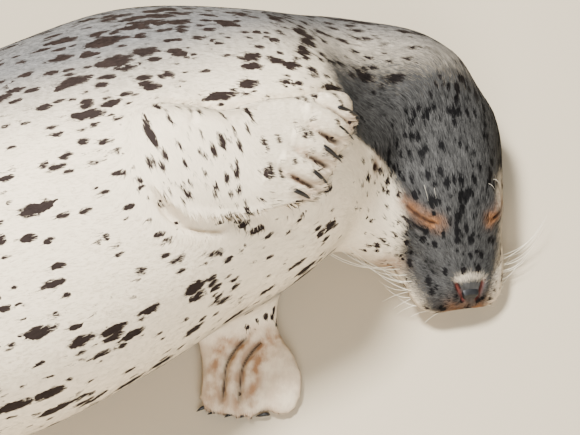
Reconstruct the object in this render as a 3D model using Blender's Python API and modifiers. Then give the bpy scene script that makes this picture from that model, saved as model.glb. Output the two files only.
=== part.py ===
"""Harbor seal, life size, lying on its left side with its head turned down onto the floor,
its eyes shut, its right fore flipper laid along its neck and its left one palm up on the floor.

Lengths are in millimetres until the finished solids are scaled to metres. +X runs towards the
head, +Y towards the seal's back and +Z up. The trunk, neck and head are lofted as one form, and
each limb as another. A limb is then trimmed to the surface it grows from, and thin cuts part
the forms into the pieces that have names.
"""

import math

import bmesh
import bpy
import numpy as np
from mathutils import Matrix, Vector
from mathutils.bvhtree import BVHTree

MM = 0.001
RING_POINTS = 40  # points round each lofted section
VOXEL = 4.0  # grid in which the lofts of a form grow together
SMOOTHING = 6
PLAIN_SMOOTHING = 40  # of trunk and neck
CUT_WIDTH = 0.3  # gap that parts two neighbours
CARVED_SIDES = 11  # of the rounded cuts round nose, lids and ears

# Triangles kept on each form.
TRUNK_TRIANGLES = 1250
HEAD_TRIANGLES = 1300
FORE_TRIANGLES = 680
HIND_TRIANGLES = 260
TAIL_TRIANGLES = 90

# Head: its place is the tip of the nose, its stance three angles.
NOSE_TIP = Vector((199.0, -125.0, 43.0))
HEAD_HEADING = math.radians(-77.5)  # direction of the muzzle, seen from above, from +X
HEAD_NOD = math.radians(-5.0)
HEAD_ROLL = math.radians(14.0)  # right cheek raised


def head_axes():
    """Forward, right and crown directions of the head."""
    forward = Vector((
        math.cos(HEAD_HEADING) * math.cos(HEAD_NOD),
        math.sin(HEAD_HEADING) * math.cos(HEAD_NOD),
        math.sin(HEAD_NOD),
    ))
    level = forward.cross(Vector((0, 0, 1))).normalized()
    turn = Matrix.Rotation(-HEAD_ROLL, 3, forward)
    right = turn @ level
    return forward, right, right.cross(forward)


FORWARD, RIGHT, CROWN = head_axes()


def on_head(behind, right, crown):
    """A point of the head, given behind the nose, to its right and towards its crown."""
    return NOSE_TIP - FORWARD * behind + RIGHT * right + CROWN * crown


# Body from the rump to the inside of the head. Each row is the section's middle, the direction
# of the back, and the reach to the back, belly, right (upper) and left (lower) side.
BODY = [
    (-978, -322, 72, -0.10, 1.00, 0.00, 20, 20, 22, 22),
    (-952, -320, 76, -0.12, 1.00, 0.00, 46, 46, 48, 50),
    (-900, -314, 90, -0.18, 0.98, 0.00, 70, 72, 78, 82),
    (-830, -302, 108, -0.22, 0.97, 0.00, 98, 98, 102, 106),
    (-740, -280, 130, -0.28, 0.96, 0.00, 130, 134, 128, 135),
    (-630, -248, 150, -0.34, 0.94, 0.00, 158, 168, 148, 158),
    (-500, -200, 163, -0.40, 0.92, 0.00, 178, 198, 164, 173),
    (-370, -144, 168, -0.42, 0.91, 0.00, 188, 224, 170, 178),
    (-238, -84, 165, -0.42, 0.91, 0.00, 200, 210, 167, 175),
    (-120, -30, 154, -0.40, 0.91, 0.05, 203, 178, 154, 163),
    (-15, 16, 134, -0.38, 0.92, 0.12, 166, 150, 126, 140),
    (45, 42, 110, -0.35, 0.93, 0.13, 155, 108, 92, 112),
    (98, 66, 92, -0.30, 0.95, 0.13, 146, 62, 68, 92),
    (140, 82, 82, -0.28, 0.96, 0.10, 108, 46, 66, 82),
    (168, 92, 74, -0.20, 0.98, 0.10, 50, 30, 40, 44),
]
# Swellings that the sections of the body leave out: middle and radii, along the world's axes.
BODY_SWELLS = [
    ((108, 102, 86), (108, 96, 84)),  # back of the bent neck
    ((98, -38, 62), (54, 56, 58)),  # throat, pushed up between head and chest
]
# Head, from the nose back into the neck: behind the nose, middle above the axis, reach to the
# crown, to the throat and to each side.
HEAD = [
    (-9, -15, 6, 7, 16),
    (-4, -14, 12, 14, 30),
    (4, -14, 19, 20, 40),
    (14, -14, 26, 26, 47),
    (26, -15, 33, 31, 53),
    (40, -16, 41, 36, 57),
    (54, -16, 48, 40, 59),
    (68, -15, 54, 44, 61),
    (82, -12, 60, 48, 62),
    (96, -8, 64, 52, 65),
    (112, -4, 68, 57, 69),
    (132, 0, 72, 64, 73),
    (155, 0, 76, 70, 78),
    (180, 0, 79, 74, 84),
    (205, 0, 79, 76, 88),
    (230, 0, 68, 66, 78),
    (248, 0, 34, 34, 38),
]
# Swellings of the head: middle and radii, behind the nose, to its right and towards its crown.
HEAD_SWELLS = [
    ((116, 46, -6), (50, 38, 42)),  # jowl
    ((22, 30, -23), (31, 33, 24)),  # whisker pads, the right one pressed wider
    ((20, -24, -20), (28, 27, 23)),
    ((66, 48, -26), (36, 29, 25)),  # cheeks by the mouth's corners
    ((66, -36, -26), (34, 22, 25)),
    ((92, 40, 26), (24, 17, 20)),  # brows over the shut eyes
    ((92, -40, 26), (24, 17, 20)),
    ((4, 0, 0), (8, 13, 9)),  # nose
    ((30, 0, -42), (24, 26, 12)),  # chin
]
# Limbs: middle, direction of the upper face, half thickness above and below, and reach to the
# right and left of the way the limb runs.
RIGHT_ARM = [
    (-205, -90, 268, -0.05, -0.40, 0.90, 20, 30, 40, 36),
    (-166, -98, 292, -0.05, -0.40, 0.90, 26, 40, 60, 52),
    (-124, -102, 298, 0.00, -0.40, 0.90, 27, 36, 64, 60),
    (-88, -99, 292, 0.15, -0.40, 0.89, 25, 30, 62, 56),
    (-52, -95, 282, 0.25, -0.38, 0.87, 21, 26, 58, 54),
    (-29, -84, 276, 0.32, -0.36, 0.85, 18, 22, 60, 58),
    (0, -70, 265, 0.42, -0.34, 0.83, 15, 18, 58, 60),
    (21, -61, 256, 0.50, -0.32, 0.80, 12, 14, 50, 54),
    (36, -52, 246, 0.55, -0.30, 0.77, 7, 9, 36, 42),
]
LEFT_ARM = [
    (-30, -30, 66, 0.0, 0.0, 1.0, 24, 26, 44, 20),
    (-36, -80, 50, 0.0, 0.0, 1.0, 28, 30, 60, 24),
    (-42, -120, 34, 0.0, 0.0, 1.0, 24, 30, 72, 32),
    (-44, -160, 22, 0.0, 0.0, 1.0, 18, 24, 68, 40),
    (-46, -195, 15, 0.0, 0.0, 1.0, 11, 18, 56, 52),
    (-46, -225, 11, 0.0, 0.0, 1.0, 8, 14, 52, 56),
    (-47, -244, 9, 0.0, 0.0, 1.0, 6, 11, 46, 50),
]
LEFT_HIND = [
    (-880, -316, 62, 0.0, 0.0, 1.0, 30, 30, 36, 36),
    (-950, -326, 42, 0.0, 0.0, 1.0, 28, 30, 38, 38),
    (-1005, -337, 27, 0.0, 0.0, 1.0, 21, 26, 43, 43),
    (-1060, -350, 18, 0.0, 0.0, 1.0, 15, 18, 56, 56),
    (-1110, -362, 12, 0.0, 0.0, 1.0, 10, 13, 70, 70),
    (-1160, -374, 9, 0.0, 0.0, 1.0, 6, 10, 84, 84),
    (-1205, -385, 7, 0.0, 0.0, 1.0, 4, 8, 90, 90),
]
RIGHT_HIND = [
    (-880, -312, 128, -0.1, 0.0, 1.0, 30, 30, 36, 36),
    (-950, -318, 108, -0.2, 0.0, 0.98, 27, 25, 38, 38),
    (-1005, -324, 90, -0.25, 0.0, 0.97, 21, 19, 43, 43),
    (-1060, -328, 75, -0.25, 0.0, 0.97, 15, 13, 56, 56),
    (-1110, -332, 62, -0.25, 0.0, 0.97, 10, 9, 70, 70),
    (-1160, -335, 51, -0.2, 0.0, 0.98, 6, 6, 84, 84),
    (-1205, -336, 45, -0.15, 0.0, 0.99, 4, 4, 90, 90),
]
TAIL = [
    (-900, -286, 86, 0.0, 1.0, 0.0, 24, 24, 30, 30),
    (-950, -274, 84, 0.0, 1.0, 0.0, 20, 20, 26, 26),
    (-1000, -266, 80, 0.0, 1.0, 0.0, 13, 13, 22, 22),
    (-1042, -262, 76, 0.0, 1.0, 0.0, 9, 9, 17, 17),
    (-1066, -260, 73, 0.0, 1.0, 0.0, 6, 6, 9, 9),
]

# Digits from the thumb to the little one: knuckle, middle and tip.
RIGHT_FINGERS = [
    ((2, -31, 281), (42, -24, 259), (69, -18, 226)),
    ((0, -47, 279), (37, -45, 260), (61, -41, 230)),
    ((-10, -74, 277), (23, -72, 260), (49, -71, 233)),
    ((-23, -100, 273), (10, -97, 258), (35, -97, 232)),
    ((-35, -124, 267), (-7, -117, 256), (20, -111, 235)),
]
RIGHT_EDGE = ((-11, -27, 285), (32, -10, 264), (63, 9, 230))  # fold along the thumb
RIGHT_HAND_BACK = (0.60, -0.30, 0.74)
LEFT_FINGERS = [
    ((-20, -184, 22), (-12, -224, 16), (-16, -252, 9)),
    ((-35, -185, 22), (-36, -224, 17), (-42, -256, 9)),
    ((-48, -185, 22), (-53, -224, 17), (-58, -255, 9)),
    ((-64, -183, 22), (-70, -222, 17), (-76, -253, 9)),
    ((-79, -179, 20), (-90, -217, 15), (-91, -247, 9)),
]
LEFT_EDGE = ((-10, -175, 20), (3, -220, 12), (-6, -248, 8))
LEFT_PALM = (0, 0, 1)
FINGER_RADII = (9.0, 11.0, 8.0)
FINGER_END = 0.35  # of the last radius, where a digit closes
TOE_SPREAD = (1.0, 0.5, 0.0, -0.5, -1.0)  # places of the five toes across the hind flipper
TOE_LENGTHS = (230, 205, 194, 205, 225)  # from the ankle to the tips
TOE_RADII = (10.0, 9.0, 7.0)
HIND_HALF_WIDTH = 84.0  # between the middles of the outer toes, at the tips
TOE_KNUCKLE = 0.2  # places of knuckle and middle along a toe
TOE_MIDDLE = 0.58
TOE_BOW = 12.0  # how far the outer toes bow outwards at their middles
TOE_LIFT = 2.0  # height of the tips' middles over the web's
HIND_CLAW = (-6.0, 13.0)  # root and tip, before the toe's tip
HIND_CLAW_HEIGHTS = (4.5, 2.5)

# Claws: root and tip.
RIGHT_CLAWS = [
    ((50, -14, 260), (77, -8, 225)),
    ((45, -36, 262), (70, -39, 229)),
    ((33, -65, 265), (57, -71, 235)),
    ((20, -92, 262), (43, -98, 232)),
    ((2, -117, 261), (25, -117, 236)),
]
LEFT_CLAWS = [
    ((-22, -252, 6), (-31, -269, 4)),
    ((-44, -252, 6), (-50, -269, 4)),
    ((-58, -250, 6), (-63, -268, 4)),
    ((-76, -248, 6), (-83, -265, 4)),
    ((-90, -242, 6), (-93, -259, 4)),
]
CLAW_RADIUS = 2.9
CLAW_ARCH = 3.0
CLAW_SIDES = 5
CLAW_RINGS = ((0.0, 0.8), (0.3, 1.0), (0.65, 0.8), (0.93, 0.35))  # place along it, thickness
CLAW_NARROWNESS = 0.85

# Face, on the right side of the head: behind the nose, off the middle, towards the crown.
EYE = (90, 45, 33)
SLIT = Vector((22, 23, 2)).normalized()  # the shut eye's line, from its inner corner back
LID_REACH = (24, 12, 13)  # along the slit, across the slit and into the head
EARS = {
    "right": ((162, 73, 8), Vector((0.0, -0.5, 0.87))),  # place, and the way it faces
    "left": ((162, -73, 8), -RIGHT),
}
EAR_RADIUS = 9.0
EAR_HOLE_RADIUS = 3.2
EAR_HOLE_DEPTH = 4.0
NOSE_PAD = (0, 0, 1)
NOSE_REACH = (11, 13, 9)
MOUTH_HEIGHT = -34.0  # from the nose down to the line between the lips
MOUTH_CORNER = 66.0
JAW_ROOM = (96.0, 160.0, 60.0)  # length, width and depth of the space that the jaw is cut from
MUZZLE_DEPTH = 60.0
FACE_MIDDLE = (75, 10, 0)
FACE_REACH = 100.0  # round the middle, where the skin stays fine
FACE_BLEND = 60.0

# Where the trunk is parted: a point on the cut and the direction of its front side.
NECK_CUT = ((16, 28, 130), (0.93, 0.36, 0.0))
HEAD_CUT = ((112, 30, 100), (0.86, -0.50, 0.0))
CHEST_CUT = ((-262, -95, 160), (0.91, 0.42, 0.0))
HIPS_CUT = ((-600, -238, 150), (0.93, 0.36, 0.0))
RIGHT_WRIST_CUT = ((-34, -88, 280), (0.99, 0.12, -0.08))
LEFT_WRIST_CUT = ((-45, -172, 20), (0.0, -1.0, 0.0))

# Colour, roughness.
MATERIALS = {
    "coat": ("#d8d3ca", 0.75),
    "crown coat": ("#77797a", 0.75),
    "nose pad": ("#141416", 0.45),
    "claw horn": ("#2b2928", 0.4),
}


def rows_between(rows, spacing):
    """Rows spaced evenly on a smooth curve through the given rows."""
    rows = np.array(rows, float)
    steps = np.linalg.norm(np.diff(rows[:, :3], axis=0), axis=1)
    knots = np.concatenate([[0.0], np.cumsum(steps)])
    slopes = np.gradient(rows, knots, axis=0)
    places = np.linspace(0.0, knots[-1], max(3, round(knots[-1] / spacing)))
    first = np.clip(np.searchsorted(knots, places, side="right") - 1, 0, len(knots) - 2)
    span = (knots[first + 1] - knots[first])[:, None]
    t = (places - knots[first])[:, None] / span
    return (
        (2 * t**3 - 3 * t**2 + 1) * rows[first]
        + (t**3 - 2 * t**2 + t) * span * slopes[first]
        + (3 * t**2 - 2 * t**3) * rows[first + 1]
        + (t**3 - t**2) * span * slopes[first + 1]
    )


def loft(form, rows, spacing=8.0):
    """Adds a closed skin over oval sections: middle, back direction, and four reaches."""
    rows = rows_between(rows, spacing)
    middles = rows[:, :3]
    along = np.gradient(middles, axis=0)
    rings = []
    for middle, forward, row in zip(middles, along, rows):
        forward = Vector(forward).normalized()
        side = forward.cross(Vector(row[3:6])).normalized()
        back = side.cross(forward)
        up, down, right, left = (max(1.0, reach) for reach in row[6:10])
        ring = []
        for i in range(RING_POINTS):
            angle = 2 * math.pi * i / RING_POINTS
            rise, reach = math.cos(angle), math.sin(angle)
            ring.append(form.verts.new(
                Vector(middle)
                + back * rise * (up if rise > 0 else down)
                + side * reach * (right if reach > 0 else left)
            ))
        rings.append(ring)
    for ring, after in zip(rings, rings[1:]):
        for i in range(RING_POINTS):
            j = (i + 1) % RING_POINTS
            form.faces.new((ring[i], ring[j], after[j], after[i]))
    form.faces.new(reversed(rings[0]))
    form.faces.new(rings[-1])


def egg(form, middle, radii, axes=None, sides=27):
    """Adds an ellipsoid. Its axes are the head's unless others are given."""
    axes = axes or (FORWARD, RIGHT, CROWN)
    turn = Matrix([Vector(axis) * radius for axis, radius in zip(axes, radii)]).transposed().to_4x4()
    turn.translation = middle
    bmesh.ops.create_uvsphere(form, u_segments=sides, v_segments=sides * 2 // 3, radius=1.0, matrix=turn)


def body_form(form):
    loft(form, BODY)
    for middle, radii in BODY_SWELLS:
        egg(form, middle, radii, Matrix.Identity(3))
    rows = []
    for behind, middle, up, down, side in HEAD:
        place = on_head(behind, 0, middle)
        rows.append((*place, *CROWN, up, down, side, side))
    loft(form, rows, spacing=5.0)
    for place, radii in HEAD_SWELLS:
        egg(form, on_head(*place), radii)


def finger(form, points, back, radii=FINGER_RADII, flatness=1.0):
    """A digit through three points, rounded off past its tip."""
    base, middle, tip = (Vector(point) for point in points)
    end = tip + (tip - middle).normalized() * radii[2]
    rows = []
    for point, radius in zip((base, middle, tip, end), (*radii, radii[2] * FINGER_END)):
        thickness = radius * flatness
        rows.append((*point, *back, thickness, thickness, radius, radius))
    loft(form, rows, spacing=4.0)


def right_arm_form(form):
    loft(form, RIGHT_ARM)
    for points in RIGHT_FINGERS:
        finger(form, points, RIGHT_HAND_BACK)
    finger(form, RIGHT_EDGE, RIGHT_HAND_BACK, radii=(10, 13, 13), flatness=0.6)


def left_arm_form(form):
    loft(form, LEFT_ARM)
    for points in LEFT_FINGERS:
        finger(form, points, LEFT_PALM, flatness=0.85)
    finger(form, LEFT_EDGE, LEFT_PALM, radii=(12, 14, 12), flatness=0.7)


def toe_tips(rows):
    """Knuckle, middle and tip of each toe of a hind flipper."""
    ankle, near, end = (Vector(rows[i][:3]) for i in (2, 3, 6))
    along = (end - near).normalized()
    across = along.cross(Vector((0, 0, 1))).normalized()
    toes = []
    for spread, length in zip(TOE_SPREAD, TOE_LENGTHS):
        tip = ankle + along * length + across * spread * HIND_HALF_WIDTH
        tip.z = end.z + TOE_LIFT
        middle = ankle.lerp(tip, TOE_MIDDLE) + across * spread * TOE_BOW
        toes.append((ankle.lerp(tip, TOE_KNUCKLE), middle, tip))
    return toes


def hind_form(form, rows):
    loft(form, rows)
    for points in toe_tips(rows):
        finger(form, points, (0, 0, 1), radii=TOE_RADII, flatness=0.8)


def tail_form(form):
    loft(form, TAIL, spacing=6.0)


def mesh_of(build, *arguments):
    form = bmesh.new()
    build(form, *arguments)
    bmesh.ops.recalc_face_normals(form, faces=form.faces)
    mesh = bpy.data.meshes.new("form")
    form.to_mesh(mesh)
    form.free()
    return mesh


def with_modifiers(mesh, add):
    """The mesh that is left when the modifiers made by add have run."""
    thing = bpy.data.objects.new("work", mesh)
    bpy.context.scene.collection.objects.link(thing)
    add(thing)
    graph = bpy.context.evaluated_depsgraph_get()
    result = bpy.data.meshes.new_from_object(thing.evaluated_get(graph))
    bpy.data.objects.remove(thing)
    return result


def grown_together(mesh, triangles, plainness=None):
    """One closed skin round overlapping lofts, thinned to a number of triangles.

    plainness tells, for a point, how much it is smoothed and thinned ahead of the rest (0 to 1).
    """

    def remesh(thing):
        grow = thing.modifiers.new("grow together", "REMESH")
        grow.mode = "VOXEL"
        grow.voxel_size = VOXEL

    def soften(thing):
        soft = thing.modifiers.new("soften", "SMOOTH")
        soft.factor = 0.5
        soft.iterations = SMOOTHING
        if plainness:
            soften_plain(thing)

    def soften_plain(thing):
        group = thing.vertex_groups.new(name="plain")
        plain = 0.0
        for vertex in thing.data.vertices:
            weight = plainness(vertex.co)
            plain += weight
            group.add([vertex.index], weight, "REPLACE")
        soft = thing.modifiers.new("soften the plain part", "SMOOTH")
        soft.factor = 0.5
        soft.iterations = PLAIN_SMOOTHING
        soft.vertex_group = group.name
        fewer = thing.modifiers.new("thin the plain part", "DECIMATE")
        fewer.vertex_group = group.name
        fine = 1.0 - plain / len(thing.data.vertices)
        fewer.ratio = fine + TRUNK_TRIANGLES / triangle_count(thing.data)

    def thin(thing):
        fewer = thing.modifiers.new("thin", "DECIMATE")
        fewer.ratio = triangles / triangle_count(thing.data)

    return with_modifiers(with_modifiers(with_modifiers(mesh, remesh), soften), thin)


def triangle_count(mesh):
    return sum(len(polygon.vertices) - 2 for polygon in mesh.polygons)


def half(mesh, point, normal):
    """The closed half of a mesh on the side that the normal points to."""
    form = bmesh.new()
    form.from_mesh(mesh)
    cut = bmesh.ops.bisect_plane(
        form,
        geom=form.verts[:] + form.edges[:] + form.faces[:],
        dist=1e-5,
        plane_co=Vector(point),
        plane_no=Vector(normal),
        clear_inner=True,
    )
    rim = [thing for thing in cut["geom_cut"] if isinstance(thing, bmesh.types.BMEdge)]
    if rim:
        bmesh.ops.triangle_fill(form, edges=rim, use_beauty=True, use_dissolve=False)
    bmesh.ops.recalc_face_normals(form, faces=form.faces)
    part = bpy.data.meshes.new("half")
    form.to_mesh(part)
    form.free()
    return part


def parted(mesh, cut):
    """Both sides of a cut, a thin gap apart: the front one first."""
    point, normal = Vector(cut[0]), Vector(cut[1]).normalized()
    gap = normal * CUT_WIDTH / 2
    return half(mesh, point + gap, normal), half(mesh, point - gap, -normal)


def combined(mesh, other, operation):
    """A Boolean of two closed meshes, of which the largest piece is kept."""
    tool = bpy.data.objects.new("tool", other)
    CUTTERS.objects.link(tool)

    def add(thing):
        boolean = thing.modifiers.new("cut", "BOOLEAN")
        boolean.operation = operation
        boolean.object = tool

    result = with_modifiers(mesh, add)
    bpy.data.objects.remove(tool)
    return largest_piece(result)


def largest_piece(mesh):
    form = bmesh.new()
    form.from_mesh(mesh)
    unseen = set(form.verts)
    pieces = []
    while unseen:
        queue = [unseen.pop()]
        piece = []
        while queue:
            vertex = queue.pop()
            piece.append(vertex)
            for edge in vertex.link_edges:
                other = edge.other_vert(vertex)
                if other in unseen:
                    unseen.remove(other)
                    queue.append(other)
        pieces.append(piece)
    keep = max(pieces, key=len)
    spare = [vertex for piece in pieces if piece is not keep for vertex in piece]
    bmesh.ops.delete(form, geom=spare, context="VERTS")
    form.to_mesh(mesh)
    form.free()
    return mesh


def grown(mesh, distance=CUT_WIDTH):
    """A copy of a mesh, pushed out along its normals."""
    copy = mesh.copy()
    shifted = [vertex.co + vertex.normal * distance for vertex in copy.vertices]
    for vertex, place in zip(copy.vertices, shifted):
        vertex.co = place
    return copy


def carved(mesh, region):
    """What a region takes out of a mesh, and what it leaves, a thin gap apart."""
    inside = combined(mesh, region, "INTERSECT")
    outside = combined(mesh, grown(region), "DIFFERENCE")
    return inside, outside


def lid_axes(side):
    """Along the shut eye's slit, out of the head, and across the slit."""
    along = (-FORWARD * SLIT.x + RIGHT * side * SLIT.y + CROWN * SLIT.z).normalized()
    out = (RIGHT * side * 0.55 + CROWN * 0.83 + FORWARD * 0.1)
    out = (out - along * out.dot(along)).normalized()
    return along, out.cross(along), out


def face_pieces(head):
    """Parts the head into its skull, muzzle, nose, jaw, lids and ears."""
    pieces = {}
    pieces["lower_jaw"], head = carved(head, mesh_of(jaw_box))
    pieces["nose"], head = carved(head, mesh_of(rounded_cut, on_head(*NOSE_PAD), NOSE_REACH))
    for name, side in (("right", 1), ("left", -1)):
        axes = lid_axes(side)
        eye = on_surface(head, on_head(EYE[0], side * EYE[1], EYE[2]), axes[2])
        lids, head = carved(head, mesh_of(rounded_cut, eye, LID_REACH, axes))
        across = axes[1] if axes[1].dot(CROWN) > 0 else -axes[1]
        upper, lower = parted(lids, (eye, across))
        pieces[f"eyelid_upper_{name}"] = upper
        pieces[f"eyelid_lower_{name}"] = lower
        place, out = EARS[name]
        hole = on_surface(head, on_head(*place), out)
        ear, head = carved(head, mesh_of(rounded_cut, hole, (EAR_RADIUS,) * 3))
        pieces[f"ear_{name}"] = combined(ear, mesh_of(ear_bore, hole, out), "DIFFERENCE")
    pieces["muzzle"], pieces["head"] = parted(head, (on_head(MUZZLE_DEPTH, 0, 0), FORWARD))
    return pieces


def rounded_cut(form, middle, radii, axes=None):
    egg(form, middle, radii, axes, CARVED_SIDES)


def jaw_box(form):
    """The space of the lower jaw: under the lips, in front of the mouth's corners."""
    length, width, depth = JAW_ROOM
    place = on_head(MOUTH_CORNER - length / 2, 0, MOUTH_HEIGHT - depth / 2)
    turn = Matrix((FORWARD * length, RIGHT * width, CROWN * depth)).transposed().to_4x4()
    turn.translation = place
    bmesh.ops.create_cube(form, size=1.0, matrix=turn)


def on_surface(mesh, point, out):
    """The outermost place of a mesh over a point, looking inwards against out."""
    form = bmesh.new()
    form.from_mesh(mesh)
    place = BVHTree.FromBMesh(form).ray_cast(point + out * 300, -out)[0]
    form.free()
    return place


def ear_bore(form, hole, out):
    turn = out.to_track_quat("Z", "Y").to_matrix().to_4x4()
    turn.translation = hole + out * EAR_HOLE_DEPTH
    bmesh.ops.create_cone(
        form,
        cap_ends=True,
        segments=CARVED_SIDES,
        radius1=EAR_HOLE_RADIUS,
        radius2=EAR_HOLE_RADIUS,
        depth=3 * EAR_HOLE_DEPTH,
        matrix=turn,
    )


def body_pieces(body):
    pieces = {}
    front, trunk = parted(body, NECK_CUT)
    head, pieces["neck"] = parted(front, HEAD_CUT)
    pieces["chest"], trunk = parted(trunk, CHEST_CUT)
    pieces["belly"], pieces["hips"] = parted(trunk, HIPS_CUT)
    pieces.update(face_pieces(head))
    return pieces


def claw(form, root, tip, arch):
    """A horn that tapers from root to tip, bowed along arch."""
    root, tip = Vector(root), Vector(tip)
    along = (tip - root).normalized()
    side = along.cross(arch).normalized()
    rings = []
    for t, size in CLAW_RINGS:
        middle = root.lerp(tip, t) + arch * CLAW_ARCH * 4 * t * (1 - t)
        ring = []
        for i in range(CLAW_SIDES):
            angle = 2 * math.pi * i / CLAW_SIDES
            reach = side * math.cos(angle) * CLAW_NARROWNESS + arch * math.sin(angle)
            ring.append(form.verts.new(middle + reach * CLAW_RADIUS * size))
        rings.append(ring)
    point = form.verts.new(tip)
    for ring, after in zip(rings, rings[1:]):
        for i in range(CLAW_SIDES):
            j = (i + 1) % CLAW_SIDES
            form.faces.new((ring[i], ring[j], after[j], after[i]))
    for i in range(CLAW_SIDES):
        form.faces.new((rings[-1][i], rings[-1][(i + 1) % CLAW_SIDES], point))
    form.faces.new(reversed(rings[0]))


def seated_claws(hand, limb, claws, arch, rest=None):
    """Claws seated in a hand, each a thin gap away from it."""
    pieces = {}
    for number, (root, tip) in enumerate(claws, 1):
        horn = mesh_of(claw, root, tip, Vector(arch).normalized())
        hand = combined(hand, grown(horn), "DIFFERENCE")
        if rest:
            horn = combined(horn, rest, "DIFFERENCE")
        pieces[f"claw_{limb}_{number}"] = horn
    return hand, pieces


def hind_claws(rows):
    """Root and tip of each claw, on top of its toe's tip."""
    claws = []
    for _, middle, tip in toe_tips(rows):
        along = (tip - middle).normalized()
        root, end = (
            tip + along * reach + Vector((0, 0, height))
            for reach, height in zip(HIND_CLAW, HIND_CLAW_HEIGHTS)
        )
        claws.append((root, end))
    return claws


def limb_pieces(body):
    pieces = {}
    skin = grown(body)
    arm = grown_together(mesh_of(right_arm_form), FORE_TRIANGLES)
    arm = combined(arm, skin, "DIFFERENCE")
    hand, pieces["forearm_right"] = parted(arm, RIGHT_WRIST_CUT)
    hand, claws = seated_claws(hand, "fore_right", RIGHT_CLAWS, (0.6, -0.2, 0.77), skin)
    pieces["hand_right"] = hand
    pieces.update(claws)
    arm = grown_together(mesh_of(left_arm_form), FORE_TRIANGLES)
    arm = half(combined(arm, skin, "DIFFERENCE"), (0, 0, 0), (0, 0, 1))
    hand, pieces["forearm_left"] = parted(arm, LEFT_WRIST_CUT)
    hand, claws = seated_claws(hand, "fore_left", LEFT_CLAWS, (0, -0.3, 1))
    pieces["hand_left"] = hand
    pieces.update(claws)
    tail = grown_together(mesh_of(tail_form), TAIL_TRIANGLES)
    tail = combined(tail, skin, "DIFFERENCE")
    pieces["tail"] = tail
    for name, rows in (("right", RIGHT_HIND), ("left", LEFT_HIND)):
        flipper = grown_together(mesh_of(hind_form, rows), HIND_TRIANGLES)
        flipper = combined(combined(flipper, skin, "DIFFERENCE"), grown(tail), "DIFFERENCE")
        flipper = half(flipper, (0, 0, 0), (0, 0, 1))
        flipper, claws = seated_claws(flipper, f"hind_{name}", hind_claws(rows), (0, 0, 1))
        pieces[f"hind_flipper_{name}"] = flipper
        pieces.update(claws)
    return pieces


def linear(code):
    """Linear red, green and blue of an sRGB hex code."""
    values = (int(code[i:i + 2], 16) / 255 for i in (1, 3, 5))
    return [v / 12.92 if v <= 0.04045 else ((v + 0.055) / 1.055) ** 2.4 for v in values]


def material(name):
    code, roughness = MATERIALS[name]
    made = bpy.data.materials.get(name)
    if made is None:
        made = bpy.data.materials.new(name)
        made.use_nodes = True
        shader = made.node_tree.nodes["Principled BSDF"]
        shader.inputs["Base Color"].default_value = (*linear(code), 1)
        shader.inputs["Roughness"].default_value = roughness
        made.diffuse_color = (*linear(code), 1)
    return made


def material_name(piece):
    if piece.startswith("claw"):
        return "claw horn"
    if piece == "nose":
        return "nose pad"
    return "crown coat" if piece in ("head", "muzzle") else "coat"


def place_pieces(pieces):
    """Makes each mesh an object with its origin in its middle, the seal standing on its own."""
    points = [vertex.co for mesh in pieces.values() for vertex in mesh.vertices]
    low = Vector([min(point[i] for point in points) for i in range(3)])
    high = Vector([max(point[i] for point in points) for i in range(3)])
    base = Vector(((low.x + high.x) / 2, (low.y + high.y) / 2, low.z))
    for name, mesh in pieces.items():
        mesh.transform(Matrix.Scale(MM, 4) @ Matrix.Translation(-base))
        corners = [vertex.co.copy() for vertex in mesh.vertices]
        middle = sum(corners, Vector()) / len(corners)
        mesh.transform(Matrix.Translation(-middle))
        mesh.name = name
        piece = bpy.data.objects.new(name, mesh)
        piece.location = middle
        piece.data.materials.clear()
        piece.data.materials.append(material(material_name(name)))
        SEAL.objects.link(piece)


def clear_scene():
    for thing in list(bpy.data.objects):
        bpy.data.objects.remove(thing)


def plainness(point):
    """0 on the face, 1 on trunk and nape, blended between."""
    reach = (point - on_head(*FACE_MIDDLE)).length
    return max(0.0, min(1.0, (reach - FACE_REACH) / FACE_BLEND))


def main():
    triangles = TRUNK_TRIANGLES + HEAD_TRIANGLES
    body = grown_together(mesh_of(body_form), triangles, plainness)
    body = half(body, (0, 0, 0), (0, 0, 1))
    pieces = body_pieces(body)
    pieces.update(limb_pieces(body))
    place_pieces(pieces)


clear_scene()
SEAL = bpy.data.collections.new("harbor seal")
CUTTERS = bpy.data.collections.new("cutters")
bpy.context.scene.collection.children.link(SEAL)
bpy.context.scene.collection.children.link(CUTTERS)
main()
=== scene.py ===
"""Dresses the solids of a harbor seal: one smooth skin with the sleeping face worked into it,
short flat hair, whiskers, nose pad and claws, on a pale floor in soft light.

Places in the tables are millimetres. On the head they are given behind the nose, to its right
and towards the crown; elsewhere they are worked out from the solids. The settings are in metres.
"""

import math

import bmesh
import bpy
import numpy as np
from mathutils import Matrix, Vector
from mathutils.bvhtree import BVHTree


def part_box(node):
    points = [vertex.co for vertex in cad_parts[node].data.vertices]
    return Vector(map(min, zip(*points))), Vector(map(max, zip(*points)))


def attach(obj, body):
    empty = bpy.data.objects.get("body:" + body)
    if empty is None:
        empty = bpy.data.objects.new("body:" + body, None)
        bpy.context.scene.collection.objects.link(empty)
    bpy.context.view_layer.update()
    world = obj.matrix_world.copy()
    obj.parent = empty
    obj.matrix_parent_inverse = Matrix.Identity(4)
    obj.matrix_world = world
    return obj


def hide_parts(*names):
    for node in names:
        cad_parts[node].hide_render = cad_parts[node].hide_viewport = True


bl_info = {
    "name": "Harbor Seal",
    "version": (1, 0, 0),
    "blender": (4, 5, 0),
    "location": "View3D > Sidebar > Seal",
    "description": "Dresses a life-size sleeping harbor seal with skin, hair, whiskers and claws",
    "category": "Add Mesh",
}

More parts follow.
